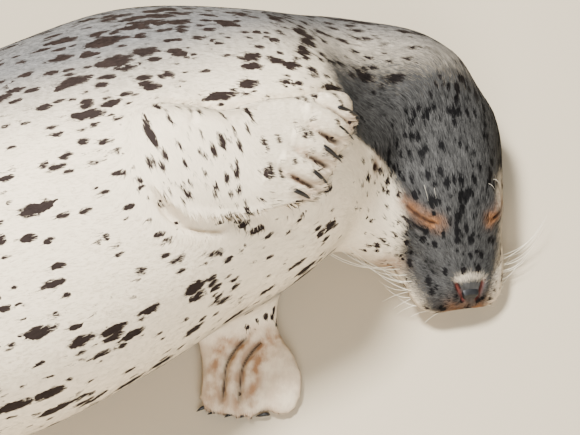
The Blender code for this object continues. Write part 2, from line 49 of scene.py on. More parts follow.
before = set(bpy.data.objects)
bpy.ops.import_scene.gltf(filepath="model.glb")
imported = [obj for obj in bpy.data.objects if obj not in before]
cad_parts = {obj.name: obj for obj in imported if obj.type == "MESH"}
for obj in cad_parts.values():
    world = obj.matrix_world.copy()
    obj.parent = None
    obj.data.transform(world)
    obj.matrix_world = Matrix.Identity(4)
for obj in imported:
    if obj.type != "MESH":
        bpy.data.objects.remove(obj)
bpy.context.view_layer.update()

MM = 0.001
SEED = 7
CLAWS = sorted(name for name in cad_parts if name.startswith("claw"))
FLESH = sorted(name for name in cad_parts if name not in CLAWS)
DIGITS = (1, 2, 3, 4, 5)
RIGHT_ARM = ("forearm_right", "hand_right")
SIDES = {"right": 1, "left": -1}  # with the sign of their places on the head

# The head's stance: heading of the muzzle from +X, nod and roll.
HEAD_HEADING = math.radians(-77.5)
HEAD_NOD = math.radians(-5.0)
HEAD_ROLL = math.radians(14.0)


# Places worked out from the solids.


def middle_of(*names):
    """Middle of the box round some nodes, in millimetres."""
    corners = np.array([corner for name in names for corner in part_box(name)])
    return (corners.min(0) + corners.max(0)) / 2 / MM


def corners_of(*names):
    """Vertices of some nodes, in millimetres."""
    meshes = [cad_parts[name].data for name in names]
    return np.array([vertex.co for mesh in meshes for vertex in mesh.vertices]) / MM


def head_axes():
    """Rows that point behind the nose, to the head's right and to its crown."""
    forward = Vector((
        math.cos(HEAD_HEADING) * math.cos(HEAD_NOD),
        math.sin(HEAD_HEADING) * math.cos(HEAD_NOD),
        math.sin(HEAD_NOD),
    ))
    level = forward.cross(Vector((0, 0, 1))).normalized()
    right = Matrix.Rotation(-HEAD_ROLL, 3, forward) @ level
    return np.array([-forward, right, right.cross(forward)])


HEAD = head_axes()
NOSE = middle_of("nose")


def on_head(*places):
    """Places on the head, in the model's frame."""
    return np.array(places, float) @ HEAD + NOSE


def from_head(points):
    """Points of the model's frame, as places on the head."""
    return (points - NOSE) @ HEAD.T


def mirrored(path):
    return [(behind, -right, crown) for behind, right, crown in path]


def unit(vectors):
    """Vectors, one to a row, brought to length 1."""
    vectors = np.asarray(vectors, float)
    return vectors / np.maximum(np.linalg.norm(vectors, axis=-1, keepdims=True), 1e-9)


def claw_names(limb):
    return [f"claw_{limb}_{digit}" for digit in DIGITS]


def claw_middles(limb):
    return [middle_of(name) for name in claw_names(limb)]


def along_digits(places, ahead, back):
    """Paths on the right hand through some places, from ahead of them to behind, in millimetres."""
    way = unit(middle_of("hand_right") - np.mean(claw_middles("fore_right"), axis=0))
    return [[place - way * step for step in np.linspace(ahead, -back, 4)] for place in places]


def finger_gaps(ahead, back):
    """Paths between the digits of the right fore flipper."""
    claws = claw_middles("fore_right")
    return along_digits([(one + other) / 2 for one, other in zip(claws, claws[1:])], ahead, back)


# A furrow of the left palm, from the middle of the claw that it ends at.
PALM_FURROW = ((4, 10, 14), (5, 34, 18), (10, 62, 20), (34, 90, 22))
PALM_DEPTHS = {2: -1.2, 3: -6.6, 4: -7.4, 5: -1.4}  # by digit


def palm_furrows():
    """Furrows of the upturned left palm by digit: each bends towards the wrist."""
    claws = dict(zip(DIGITS, claw_middles("fore_left")))
    return {digit: claws[digit] + PALM_FURROW for digit in PALM_DEPTHS}


# The flipper's lower edge.
EDGE_START = 12  # from the elbow's end of the flipper
EDGE_SHARE = 80  # per cent of the flipper's vertices that lie before the edge's other end
EDGE_STATIONS = 7
EDGE_SLAB = 16  # half the width of the slab that each station looks in
EDGE_TILT = 0.35  # how much being low counts beside being far out


def trailing_edge():
    """The lower edge of the folded right flipper, from the elbow to the little digit."""
    points = corners_of(*RIGHT_ARM)
    low = points[:, 0].min() + EDGE_START
    high = np.percentile(points[:, 0], EDGE_SHARE)
    edge = []
    for station in np.linspace(low, high, EDGE_STATIONS):
        slab = points[np.abs(points[:, 0] - station) < EDGE_SLAB]
        edge.append(slab[np.argmin(slab[:, 1] + EDGE_TILT * slab[:, 2])])
    return np.array(edge)


# Strokes of the sculptor on the head.
SLIT_CORNERS = ((0.03, 0.06, 0.52), (0.40, 0.50, 0.40), (0.86, 0.96, 0.58))  # shares of the lids' box
LID_LINES = [  # distance in front of the slit, half width, height, tint
    (0.0, 1.5, -2.6, "dark"),
    (3.6, 1.8, 0.6, None),
    (-3.6, 1.8, 0.5, None),
    (7.4, 1.4, -0.5, None),
    (-7.8, 1.5, -0.5, None),
    (12.0, 2.6, -0.7, "lash"),
    (-12.5, 2.2, -0.5, None),
]
LID_TILT = 0.6  # how far the lids face sideways, to how far they face the crown
NOSTRIL = [(13, 17, 9), (2, 13, 4), (-8, 7, -4)]
NOSTRIL_WING = [(15, 23, 9), (5, 20, 4), (-4, 15, -4)]
PHILTRUM = [(-9, 0, -8), (-10, 0, -15), (-8, 0, -22)]
MOUTH = [(-5, 0, -27), (14, 28, -34), (40, 54, -33), (54, 82, -12)]
PAD_FOLD = [(52, 62, 8), (30, 47, 10), (12, 28, 10)]  # over the whisker pad
BROW_FURROW = [(30, 0, 16), (65, 0, 42), (100, 0, 62)]
CHEEK_FOLD = [(58, 82, -4), (82, 96, 10)]
HEAD_STROKES = [  # on both sides: path, half width, height of the ridge (or groove), tint
    (NOSTRIL, 1.8, -4.0, "flesh"),
    (NOSTRIL_WING, 3.5, 1.4, None),
    (PAD_FOLD, 6.0, -1.8, None),
    (MOUTH, 1.8, -3.2, "dark"),
    (CHEEK_FOLD, 5.0, -1.6, None),
]
MIDDLE_STROKES = [  # the same, on the middle line
    (PHILTRUM, 1.5, -2.0, "dark"),
    (BROW_FURROW, 7.0, -1.4, None),
]
EYEBALL = (14.0, 1.8)  # radius and height of the swelling under the lids
EAR_PIT = (6.5, -7.5)  # the same, of the ear's opening
EAR_RIM = (9.5, 2.4)  # and of the swelling round it
EAR_SHADE = ((1.8, -0.5, 0.0), 6.0)  # dark crescent of the ear: place from its middle, and radius

# Strokes on the limbs.
DIGIT_RIDGE = (-12, 56, 6.5, 3.2)  # reach ahead of the claws and behind them, half width, height
FINGER_GROOVE = (14, 48, 3.6, -5.2)  # the same, between two digits
FINGER_SHADE_LINE = (10, 30, 1.8, -1.4)  # and the line of painted shade along its bottom
PALM_WIDTHS = (5.5, 2.4)  # each takes half of a furrow's depth
PALM_DEEP = -3  # furrows deeper than this get a line of painted shade along their bottom
PALM_SHADE_LINE = (1.1, -0.8)
EDGE_GROOVE = ((0, -7, -6), 6.0, -7.0)  # beside the flipper's lower edge, with its offset
EDGE_RIDGE = ((0, 4, 3), 6.0, 3.6)
THROAT_LOOK = (6.0, -3.0)  # half width and height
SHOULDER_LOOK = (5.0, -4.0)
CREASE = (9.0, -12.0)  # where the folded right flipper lies on the body: half width and depth
CREASE_FADE = (10, 80)  # from the elbow's end of the flipper, where it grows out of the shoulder
THROAT_CREASE = ((-44, -76, -24), (-18, -74, -52), (8, -70, -78))  # from the right hand's middle
SHOULDER_FOLDS = (((-32, 62, 10), (-6, 20, 14)), ((0, 78, 4), (26, 30, 10)))  # from the forearm's

STROKE_END = 0.15  # share of a stroke's length over which each end fades
END_HEIGHT = 0.25  # share of its height that is left there
TINT_WIDTH = 0.9  # to the stroke's half width
END_TINT = 0.4  # share of the tint that is left at the ends


def path_distance(points, path):
    """Distance of each point from a path, and how far along it the nearest place is (0 to 1)."""
    path = np.asarray(path, float)
    nearest = np.full(len(points), np.inf)
    along = np.zeros(len(points))
    lengths = np.linalg.norm(np.diff(path, axis=0), axis=1)
    starts = np.concatenate([[0.0], np.cumsum(lengths)])
    for start, end, length, run in zip(path, path[1:], lengths, starts):
        share = np.clip((points - start) @ (end - start) / max(length, 1e-6) ** 2, 0, 1)
        distance = np.linalg.norm(points - start - share[:, None] * (end - start), axis=1)
        closer = distance < nearest
        nearest[closer] = distance[closer]
        along[closer] = (run + share[closer] * length) / starts[-1]
    return nearest, along


def smooth_path(path, steps=24):
    """A smooth curve through the points of a path."""
    path = np.asarray(path, float)
    slopes = np.gradient(path, axis=0)
    places = np.linspace(0, len(path) - 1, steps)
    first = np.clip(places.astype(int), 0, len(path) - 2)
    t = (places - first)[:, None]
    return (
        (2 * t**3 - 3 * t**2 + 1) * path[first]
        + (t**3 - 2 * t**2 + t) * slopes[first]
        + (3 * t**2 - 2 * t**3) * path[first + 1]
        + (t**3 - t**2) * slopes[first + 1]
    )


def smoothstep(low, high, values):
    t = np.clip((values - low) / (high - low), 0, 1)
    return t * t * (3 - 2 * t)


def bell(distance, radius):
    """1 at no distance, falling off over the radius."""
    return np.exp(-(distance / radius) ** 2)


def round_mask(points, places, radius):
    """1 at the places, falling off over the radius."""
    mask = np.zeros(len(points))
    for place in places:
        mask = np.maximum(mask, bell(np.linalg.norm(points - place, axis=1), radius))
    return mask


def path_mask(points, path, radius):
    """1 on a path, falling off over the radius."""
    return bell(path_distance(points, path)[0], radius)


# Mesh and arrays.


def new_piece(name, mesh):
    piece = bpy.data.objects.new(name, mesh)
    bpy.context.scene.collection.objects.link(piece)
    return piece


def mesh_of(form, name):
    """The mesh of a bmesh, which is freed."""
    mesh = bpy.data.meshes.new(name)
    form.to_mesh(mesh)
    form.free()
    return mesh


def with_modifier(mesh, kind, **settings):
    """The mesh that one modifier leaves."""
    thing = new_piece("work", mesh)
    modifier = thing.modifiers.new(kind, kind)
    for name, value in settings.items():
        setattr(modifier, name, value)
    graph = bpy.context.evaluated_depsgraph_get()
    result = bpy.data.meshes.new_from_object(thing.evaluated_get(graph))
    bpy.data.objects.remove(thing)
    bpy.data.meshes.remove(mesh)
    return result


def read(items, name, width, kind=np.float32):
    values = np.empty(len(items) * width, kind)
    items.foreach_get(name, values)
    return values.reshape(-1, width) if width > 1 else values


def places_of(mesh):
    """The vertices' places in millimetres."""
    return read(mesh.vertices, "co", 3).astype(float) / MM


def put_places(mesh, points):
    mesh.vertices.foreach_set("co", (points * MM).astype(np.float32).ravel())
    mesh.update()


def push(mesh, moved):
    """Moves each vertex along its normal, in millimetres."""
    normals = read(mesh.vertices, "normal", 3)
    put_places(mesh, places_of(mesh) + normals * moved[:, None])


def edges_of(mesh):
    return read(mesh.edges, "vertices", 2, np.int32)


def tree_of(mesh):
    faces = [tuple(polygon.vertices) for polygon in mesh.polygons]
    return BVHTree.FromPolygons(places_of(mesh).tolist(), faces)


def put_attribute(mesh, name, values):
    kind, slot = ("FLOAT_VECTOR", "vector") if values.ndim == 2 else ("FLOAT", "value")
    attribute = mesh.attributes.new(name, kind, "POINT")
    attribute.data.foreach_set(slot, values.astype(np.float32).ravel())


def relaxed(values, edges, weight, rounds):
    """Values on the vertices, drawn towards their neighbours' mean."""
    values = np.asarray(values, float)
    flat = values.ndim == 1
    if flat:
        values = values[:, None]
    count = len(values)
    degree = np.bincount(edges.ravel(), minlength=count)[:, None]
    # A full weight goes half way to the mean in each round.
    weight = np.broadcast_to(np.asarray(weight, float).reshape(-1, 1), (count, 1)) * 0.5
    for _ in range(rounds):
        total = np.stack([
            np.bincount(edges[:, 0], column[edges[:, 1]], count)
            + np.bincount(edges[:, 1], column[edges[:, 0]], count)
            for column in values.T
        ], axis=1)
        values = values + weight * (total / degree - values)
    return values[:, 0] if flat else values


# Skin.

# How plain each part is: how much the facets of its solid are smoothed away.
PLAIN = {
    "belly": 1.0, "chest": 1.0, "hips": 1.0, "neck": 1.0, "head": 0.5, "tail": 0.3,
    "forearm_right": 0.12, "forearm_left": 0.4, "hand_right": 0.08, "hand_left": 0.03,
}
PLAIN_FACE = 0.10
PLAIN_OTHER = 0.2
PLAIN_EDGE = 0.1  # at most, round the flipper's lower edge
PLAIN_ARM = 0.06  # at most, close to the whole of the folded flipper
FACE_PARTS = ("muzzle", "nose", "lower_jaw", "eye", "ear")
HEAD_PARTS = ("head", *FACE_PARTS)
FINE_PARTS = ("hand", *FACE_PARTS)  # refined once
EAR_REACH = 24.0  # refined twice
EAR_REACH_ONCE = 26.33  # refined once
CLAW_REACH = 24.0  # refined twice, round the claws of the right hand
FACE_MIDDLE = (50, 10, 10)
FACE_REACH = 74.0  # refined twice
FACE_REACH_ONCE = 85.1  # refined once
EDGE_REACH = 34.0  # round the flipper's lower edge, where the skin keeps its shape
ARM_REACH = 16.0  # the same, round the whole of the folded flipper, which is refined once there
LIP_REACH = 18.0  # refined once round the flipper's lower edge, and twice within half of that
SKIN_OVER_FLOOR = 0.4
THIN_COAT = (60, 130)  # from the middle of the face: where the coat starts to deepen and where it is full
THIN_COAT_LOSS = 0.6  # share of its depth that is missing within that


def joined_flesh(swell):
    """The solids of flesh in one mesh, swollen enough to close the thin cuts between them."""
    form = bmesh.new()
    for name in FLESH:
        part = bmesh.new()
        part.from_mesh(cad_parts[name].data)
        bmesh.ops.remove_doubles(part, verts=part.verts, dist=1e-6)
        part.normal_update()
        for vertex in part.verts:
            vertex.co += vertex.normal * swell
        mesh = mesh_of(part, name)
        form.from_mesh(mesh)
        bpy.data.meshes.remove(mesh)
    return mesh_of(form, "seal_skin")


def keep_largest(mesh):
    """Deletes all but the largest body of a mesh."""
    form = bmesh.new()
    form.from_mesh(mesh)
    unseen = set(form.verts)
    bodies = []
    while unseen:
        queue = [unseen.pop()]
        body = []
        while queue:
            vertex = queue.pop()
            body.append(vertex)
            for edge in vertex.link_edges:
                other = edge.other_vert(vertex)
                if other in unseen:
                    unseen.remove(other)
                    queue.append(other)
        bodies.append(body)
    keep = max(bodies, key=len)
    spare = [vertex for body in bodies if body is not keep for vertex in body]
    bmesh.ops.delete(form, geom=spare, context="VERTS")
    form.to_mesh(mesh)
    form.free()


def solids_tree(names):
    """A search tree of some solids of flesh in millimetres, and the name of each face's solid."""
    corners = []
    faces = []
    owner = []
    for name in names:
        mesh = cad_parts[name].data
        first = len(corners)
        corners += [vertex.co / MM for vertex in mesh.vertices]
        faces += [[first + i for i in polygon.vertices] for polygon in mesh.polygons]
        owner += [name] * len(mesh.polygons)
    return BVHTree.FromPolygons(corners, faces), owner


def nearest_parts(points):
    """The name of the flesh solid nearest to each point."""
    tree, owner = solids_tree(FLESH)
    return np.array([owner[tree.find_nearest(point)[2]] for point in points])


def gap_to(points, names, reach):
    """Distance of each point from some solids; whatever lies farther off than the reach gets it."""
    tree, _ = solids_tree(names)
    low, high = corners_of(*names).min(0) - reach, corners_of(*names).max(0) + reach
    gap = np.full(len(points), float(reach))
    for i in np.flatnonzero(np.all((points > low) & (points < high), axis=1)):
        gap[i] = min(tree.find_nearest(points[i])[3], reach)
    return gap


def among(parts, names):
    """Which parts have a name that starts with one of the names."""
    found = np.zeros(len(parts), bool)
    for name in names:
        found |= np.char.startswith(parts, name)
    return found


def plainness(parts, points):
    """The share of smoothing that each vertex gets, from its part's name and its place."""
    shares = np.full(len(parts), PLAIN_OTHER)
    for name, share in PLAIN.items():
        shares[parts == name] = share
    shares[among(parts, FACE_PARTS)] = PLAIN_FACE
    distance, _ = path_distance(points, trailing_edge())
    shares[distance < EDGE_REACH] = np.minimum(shares[distance < EDGE_REACH], PLAIN_EDGE)
    beside = near_arm(points)
    shares[beside] = np.minimum(shares[beside], PLAIN_ARM)
    return shares


def near_arm(points):
    """Which points lie close to the folded right flipper."""
    return gap_to(points, RIGHT_ARM, ARM_REACH) < ARM_REACH


def from_face(points):
    """Distance of each point from the middle of the face, in millimetres."""
    return np.linalg.norm(from_head(points) - FACE_MIDDLE, axis=1)


def near(points, places, reach):
    """Which points lie within reach of one of the places."""
    return np.any([np.linalg.norm(points - place, axis=1) < reach for place in places], axis=0)


def refine(mesh, wanted):
    """Splits every face whose vertices are all wanted into four."""
    form = bmesh.new()
    form.from_mesh(mesh)
    form.verts.ensure_lookup_table()
    faces = [face for face in form.faces if all(wanted[vertex.index] for vertex in face.verts)]
    edges = list({edge for face in faces for edge in face.edges})
    bmesh.ops.subdivide_edges(form, edges=edges, cuts=1, use_grid_fill=True)
    form.to_mesh(mesh)
    form.free()


def refined(mesh, parts):
    """Refines flippers, head and ears, and some of that twice."""
    points = places_of(mesh)
    ears = [middle_of("ear_" + side) for side in SIDES]
    wanted = among(parts, FINE_PARTS) | near_arm(points)
    wanted |= from_face(points) < FACE_REACH_ONCE
    wanted |= near(points, ears, EAR_REACH_ONCE)
    wanted |= path_distance(points, trailing_edge())[0] < LIP_REACH
    refine(mesh, wanted)
    points = places_of(mesh)
    low, high = np.array(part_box("hand_left")) / MM
    low[2] = (low[2] + high[2]) / 2  # the palm's upper side
    wanted = np.all((points > low) & (points < high), axis=1)
    wanted |= from_face(points) < FACE_REACH
    wanted |= near(points, ears, EAR_REACH)
    wanted |= near(points, claw_middles("fore_right"), CLAW_REACH)
    wanted |= path_distance(points, trailing_edge())[0] < LIP_REACH / 2
    refine(mesh, wanted)


def sunk(mesh, depth):
    """Sinks the skin by the coat's depth, less on the face, and keeps it over the floor."""
    face = 1 - smoothstep(*THIN_COAT, from_face(places_of(mesh)))
    push(mesh, -depth * (1 - THIN_COAT_LOSS * face))
    points = places_of(mesh)
    points[:, 2] = np.maximum(points[:, 2], SKIN_OVER_FLOOR)
    put_places(mesh, points)


def pressed(mesh, strokes, tints):
    """Moves the skin along its normals under each stroke, and notes the tint that it leaves."""
    points = places_of(mesh)
    tree = tree_of(mesh)
    moved = np.zeros(len(points))
    for path, width, height, tint in strokes:
        path = np.array([tree.find_nearest(point)[0] for point in smooth_path(path)])
        low, high = path.min(0) - 3 * width, path.max(0) + 3 * width
        close = np.flatnonzero(np.all((points > low) & (points < high), axis=1))
        distance, along = path_distance(points[close], path)
        ends = smoothstep(0, STROKE_END, along) * smoothstep(1, 1 - STROKE_END, along)
        moved[close] += height * (END_HEIGHT + (1 - END_HEIGHT) * ends) * bell(distance, width)
        if tint:
            strength = bell(distance, TINT_WIDTH * width) * (END_TINT + (1 - END_TINT) * ends)
            tints[tint][close] = np.maximum(tints[tint][close], strength)
    push(mesh, moved)


def swollen(mesh, bumps):
    """Raises a round bump at each place, given in the model's frame with its radius and height."""
    points = places_of(mesh)
    moved = np.zeros(len(points))
    for place, radius, height in bumps:
        moved += height * bell(np.linalg.norm(points - place, axis=1), radius)
    push(mesh, moved)


def slit(side):
    """The line between the shut lids of one side, on the head."""
    points = from_head(corners_of("eyelid_upper_" + side, "eyelid_lower_" + side))
    sign = SIDES[side]
    points[:, 1] *= sign
    low, high = points.min(0), points.max(0)
    return [tuple((low + (high - low) * shares) * (1, sign, 1)) for shares in np.array(SLIT_CORNERS)]


def lid_strokes(side):
    """The slit of a shut eye with its swollen rims and the folds that follow it."""
    path = on_head(*slit(side))
    along = path[-1] - path[0]
    out = HEAD[2] + HEAD[1] * LID_TILT * SIDES[side]
    across = unit(np.cross(along, out))
    if across @ HEAD[0] > 0:
        across = -across
    return [(path + across * offset, width, height, tint) for offset, width, height, tint in LID_LINES]


def limb_strokes():
    """Ridges and grooves of the digits, folds of shoulder and throat, and the flipper's edge."""
    ahead, back, *look = DIGIT_RIDGE
    strokes = [(path, *look, None) for path in along_digits(claw_middles("fore_right"), ahead, back)]
    # Each groove between two digits gets a line of painted shade along its bottom.
    for (ahead, back, *look), tint in ((FINGER_GROOVE, None), (FINGER_SHADE_LINE, "dark")):
        strokes += [(path, *look, tint) for path in finger_gaps(ahead, back)]
    for digit, path in palm_furrows().items():
        depth = PALM_DEPTHS[digit]
        strokes += [(path, width, depth / 2, None) for width in PALM_WIDTHS]
        # A deep furrow gets a line of painted shade along its bottom.
        if depth < PALM_DEEP:
            strokes.append((path, *PALM_SHADE_LINE, "dark"))
    strokes.append((middle_of("hand_right") + THROAT_CREASE, *THROAT_LOOK, None))
    strokes += [(middle_of("forearm_right") + fold, *SHOULDER_LOOK, None) for fold in SHOULDER_FOLDS]
    edge = trailing_edge()
    strokes += [(edge + offset, width, height, None) for offset, width, height in (EDGE_GROOVE, EDGE_RIDGE)]
    return strokes


def creased(mesh):
    """Sinks the skin of the body beside the folded right flipper, so that the flipper stands out."""
    points = places_of(mesh)
    half_width, depth = CREASE
    gap = gap_to(points, RIGHT_ARM, 3 * half_width)
    gap[among(nearest_parts(points), RIGHT_ARM)] = 3 * half_width
    fade = smoothstep(*(corners_of(*RIGHT_ARM)[:, 0].min() + np.array(CREASE_FADE)), points[:, 0])
    push(mesh, depth * fade * bell(gap, half_width))


def sculpt(mesh):
    """Works face, folds and digits into the skin. Returns how far each tint covers each vertex."""
    tints = {name: np.zeros(len(mesh.vertices)) for name in ("dark", "flesh", "lash")}
    swollen(mesh, [(on_head(slit(side)[1])[0], *EYEBALL) for side in SIDES])
    creased(mesh)
    both = [(on_head(*path), *look) for path, *look in HEAD_STROKES]
    both += [(on_head(*mirrored(path)), *look) for path, *look in HEAD_STROKES]
    both += [(on_head(*path), *look) for path, *look in MIDDLE_STROKES]
    pressed(mesh, both, tints)
    pressed(mesh, lid_strokes("right") + lid_strokes("left"), tints)
    pressed(mesh, limb_strokes(), tints)
    tree = tree_of(mesh)
    points = places_of(mesh)
    bumps = []
    for side in SIDES:
        hole = np.array(tree.find_nearest(middle_of("ear_" + side))[0])
        bumps += [(hole, *EAR_RIM), (hole, *EAR_PIT)]
        # Painted shade: a dark crescent inside each ear's opening.
        offset, radius = EAR_SHADE
        distance = np.linalg.norm(points - hole - offset, axis=1)
        tints["dark"] = np.maximum(tints["dark"], np.exp(-(distance / radius) ** 4))
    swollen(mesh, bumps)
    return tints


# The coat's lie, length and markings, worked out at the skin's vertices.

SPINE = ("head", "neck", "chest", "belly", "hips", "tail")
SPINE_REACH = 170.0  # over which the lie turns from one part's way to the next one's
EDGE_LIE_REACH = 30.0  # round the flipper's lower edge, where the hair lies as on the forearm
LIE_ROUNDS = 36
LIMB_LIE = {  # part: the part that its hair lies away from, and the claws that it lies towards
    "hand_right": ("forearm_right", "fore_right"), "hand_left": ("forearm_left", "fore_left"),
    "forearm_left": ("chest", "fore_left"), "hind_flipper_right": ("hips", "hind_right"),
    "hind_flipper_left": ("hips", "hind_left"),
}
FOREARM_LIE = (0.42, -0.80, -0.38)  # on the right one, down towards its lower edge
HAIR_LENGTHS = {  # by the start of the part's name; the rest have the trunk's
    "head": 7.0, "muzzle": 4.0, "lower_jaw": 3.6, "nose": 2.0, "eye": 2.6, "ear": 3.0, "neck": 6.5,
    "hand_right": 5.5, "hand_left": 3.4, "forearm": 6.5, "hind": 4.5, "tail": 5.5,
}
TRUNK_LENGTH = 6.0
LENGTH_ROUNDS = 10
EDGE_FRINGE = (6.5, 13)  # length added along the flipper's lower edge, and its reach
DIGIT_FRINGE = (6.0, 12)  # the same, round the claws of the fore flippers

# The head's grey cap: half width by distance behind the nose.
CAP_WIDTH = ((-20, 30), (0, 38), (20, 47), (50, 57), (90, 57), (114, 60), (130, 72), (146, 124), (230, 140))
CAP_MIDDLE = 12.0  # to the right of the nose
CAP_EDGE = (21, -19)  # from its half width: where the cap starts and where it is full
CAP_LOW = (-34, -14)  # the same, towards the crown
CAP_END = (185, 310)  # behind the nose, where it thins out by CAP_THINNING
CAP_THINNING = 0.85
BACK = (-30, 120)  # from the trunk's middle line: where the back's grey starts and where it is full
PALE_BAND = ((15, -14, 8), (16, 0, 12), (15, 14, 8))  # whitish hair over the nose
PALE_RADIUS = 7.0
PALE_STRENGTH = 0.5
STAINS = {  # on the head: place and radius
    "corner of the mouth": ((52, 80, -14), 14), "chin right": ((-4, 12, -24), 15),
    "chin left": ((-4, -14, -24), 15), "lip": ((16, 34, -30), 13),
}
EYE_STAIN = (0.75, 8.0)  # strength and radius, along the slit of a shut eye
EAR_STAIN = (0.8, 9.0)
GAP_STAIN = (14, 36, 0.8, 6.0)  # between the digits, from ahead of the claws to behind them
FURROW_STAIN = (0.9, 12.0)
PALM_CLAW_STAIN = (0.8, 20.0)
HAND_CLAW_STAIN = (0.6, 9.0)
FRINGE_STAIN_AND_SHADOW = (0.4, 5.0)  # painted shadow, brown like the fringe, in the middle of the flipper's lower edge and just under it
FRINGE_OFFSET = (0, -5, -4)
FRINGE_SPAN = (0.20, 0.45, 0.95)  # shares of the edge at which the painted shadow starts, is full and ends
PALM_STAIN = 0.34  # strength, all over the palm
PAD_MARK = (0.75, 10.0)  # dark mark on each whisker pad, at the middle of its fold
LASH_STRENGTH = 0.9
HAND_SPREAD = 14  # rounds of smoothing over a border
LIMB_SPREAD = 6
FACE_SPREAD = 30
FEWER_SPOTS = 0.14  # on the right hand: how much smaller they are, in cells


def lie_of_hair(points, parts, edges, normals):
    """The way the hair lies: back from the nose, along the trunk and out along the limbs."""
    spine = np.array([middle_of(name) for name in SPINE])
    ways = unit(np.gradient(spine, axis=0))
    distance = np.linalg.norm(points[:, None] - spine[None], axis=2)
    shares = np.exp(-((distance - distance.min(1, keepdims=True)) / SPINE_REACH) ** 2)
    lie = unit(shares @ ways)
    face = among(parts, HEAD_PARTS)
    lie[face] = unit(points[face] - NOSE)
    distance, _ = path_distance(points, trailing_edge())
    lie[(parts == "forearm_right") | (distance < EDGE_LIE_REACH)] = FOREARM_LIE
    for name, (root, limb) in LIMB_LIE.items():
        lie[parts == name] = unit(middle_of(*claw_names(limb)) - middle_of(root))
    lie = relaxed(unit(lie), edges, 1.0, LIE_ROUNDS)
    lie -= normals * np.sum(lie * normals, axis=1, keepdims=True)
    return unit(lie)


def hair_length(points, parts, edges):
    """Length of the hair in millimetres."""
    length = np.full(len(points), TRUNK_LENGTH)
    for name, value in HAIR_LENGTHS.items():
        length[np.char.startswith(parts, name)] = value
    length = relaxed(length, edges, 1.0, LENGTH_ROUNDS)
    added, reach = EDGE_FRINGE
    length += added * path_mask(points, trailing_edge(), reach)
    added, reach = DIGIT_FRINGE
    return length + added * round_mask(points, claw_middles("fore_right") + claw_middles("fore_left"), reach)


def cap_mask(points):
    """Where the head's grey cap lies, with the pale band over the nose left out of it."""
    behind, right, crown = from_head(points).T
    width = np.interp(behind, *zip(*CAP_WIDTH))
    start, full = CAP_EDGE
    cap = smoothstep(width + start, width + full, np.abs(right - CAP_MIDDLE)) * smoothstep(*CAP_LOW, crown)
    cap *= 1 - CAP_THINNING * smoothstep(*CAP_END, behind)
    return cap * (1 - PALE_STRENGTH * path_mask(points, on_head(*PALE_BAND), PALE_RADIUS))


def stain_and_shadow_mask(points, eyes, palm):
    """How far the hair is stained: round eyes, ears and mouth, between the digits and on the palm. It also
    carries the painted shadow under the flipper's lower edge.
    """
    stain = np.maximum(EYE_STAIN[0] * eyes, PALM_STAIN * palm)
    places = [
        ([middle_of("ear_" + side) for side in SIDES], EAR_STAIN),
        (claw_middles("fore_left"), PALM_CLAW_STAIN),
        (claw_middles("fore_right"), HAND_CLAW_STAIN),
    ]
    places += [(on_head(place), (1.0, radius)) for place, radius in STAINS.values()]
    for group, (strength, radius) in places:
        stain = np.maximum(stain, strength * round_mask(points, group, radius))
    ahead, behind, *look = GAP_STAIN
    paths = [(path, look) for path in finger_gaps(ahead, behind)]
    paths += [(path, FURROW_STAIN) for path in palm_furrows().values()]
    for path, (strength, radius) in paths:
        stain = np.maximum(stain, strength * path_mask(points, path, radius))
    # Painted shadow on the belly just under the flipper's lower edge, in the brown of its fringe.
    strength, radius = FRINGE_STAIN_AND_SHADOW
    start, full, end = FRINGE_SPAN
    distance, along = path_distance(points, trailing_edge() + FRINGE_OFFSET)
    fringe = strength * bell(distance, radius) * smoothstep(end, full, along)
    return np.maximum(stain, fringe * smoothstep(start, full, along))


def coat_masks(points, parts, edges, lash):
    """Where the coat is grey, stained, patched or unmarked, or lies on back, limb or face."""

    def spread(chosen, rounds):
        return relaxed(chosen.astype(float), edges, 1.0, rounds)

    eyes = np.maximum(*[path_mask(points, on_head(*slit(side)), EYE_STAIN[1]) for side in SIDES])
    palm = spread(parts == "hand_left", HAND_SPREAD)
    right_hand = spread(parts == "hand_right", HAND_SPREAD)
    limbs = spread(among(parts, ("forearm", "hand", "hind", "tail")), LIMB_SPREAD)
    # The trunk's middle line, from the hips forward.
    middles = np.array([middle_of(name) for name in reversed(SPINE[1:5])])
    back = points[:, 1] - np.interp(points[:, 0], middles[:, 0], middles[:, 1])
    pad = np.mean(PAD_FOLD, axis=0)
    strength, radius = PAD_MARK
    pad_marks = strength * round_mask(points, on_head(pad, *mirrored([pad])), radius)
    return {
        "grey": cap_mask(points) * (1 - limbs),
        # A spot on a shut lid would pass for a pupil.
        "unmarked": np.maximum.reduce([palm, FEWER_SPOTS * right_hand, eyes]),
        "back": smoothstep(*BACK, back),
        "stain": stain_and_shadow_mask(points, eyes, palm),
        "limb": limbs,
        "face": spread(among(parts, HEAD_PARTS), FACE_SPREAD),
        "patch": np.maximum(pad_marks, LASH_STRENGTH * lash),
    }


class SealSkinSettings(bpy.types.PropertyGroup):
    grid: bpy.props.FloatProperty(
        name="Grid", description="Mesh width in which the flesh solids grow into one skin",
        default=0.0060, unit="LENGTH",
    )
    swell: bpy.props.FloatProperty(
        name="Swell", description="How far the solids swell to close the cuts between them",
        default=0.0004, unit="LENGTH",
    )
    coat_depth: bpy.props.FloatProperty(
        name="Coat depth", description="How far the skin lies under the ends of the hair",
        default=0.0016, unit="LENGTH",
    )
    softening: bpy.props.IntProperty(
        name="Softening", description="Rounds of smoothing on trunk and neck", default=100,
    )


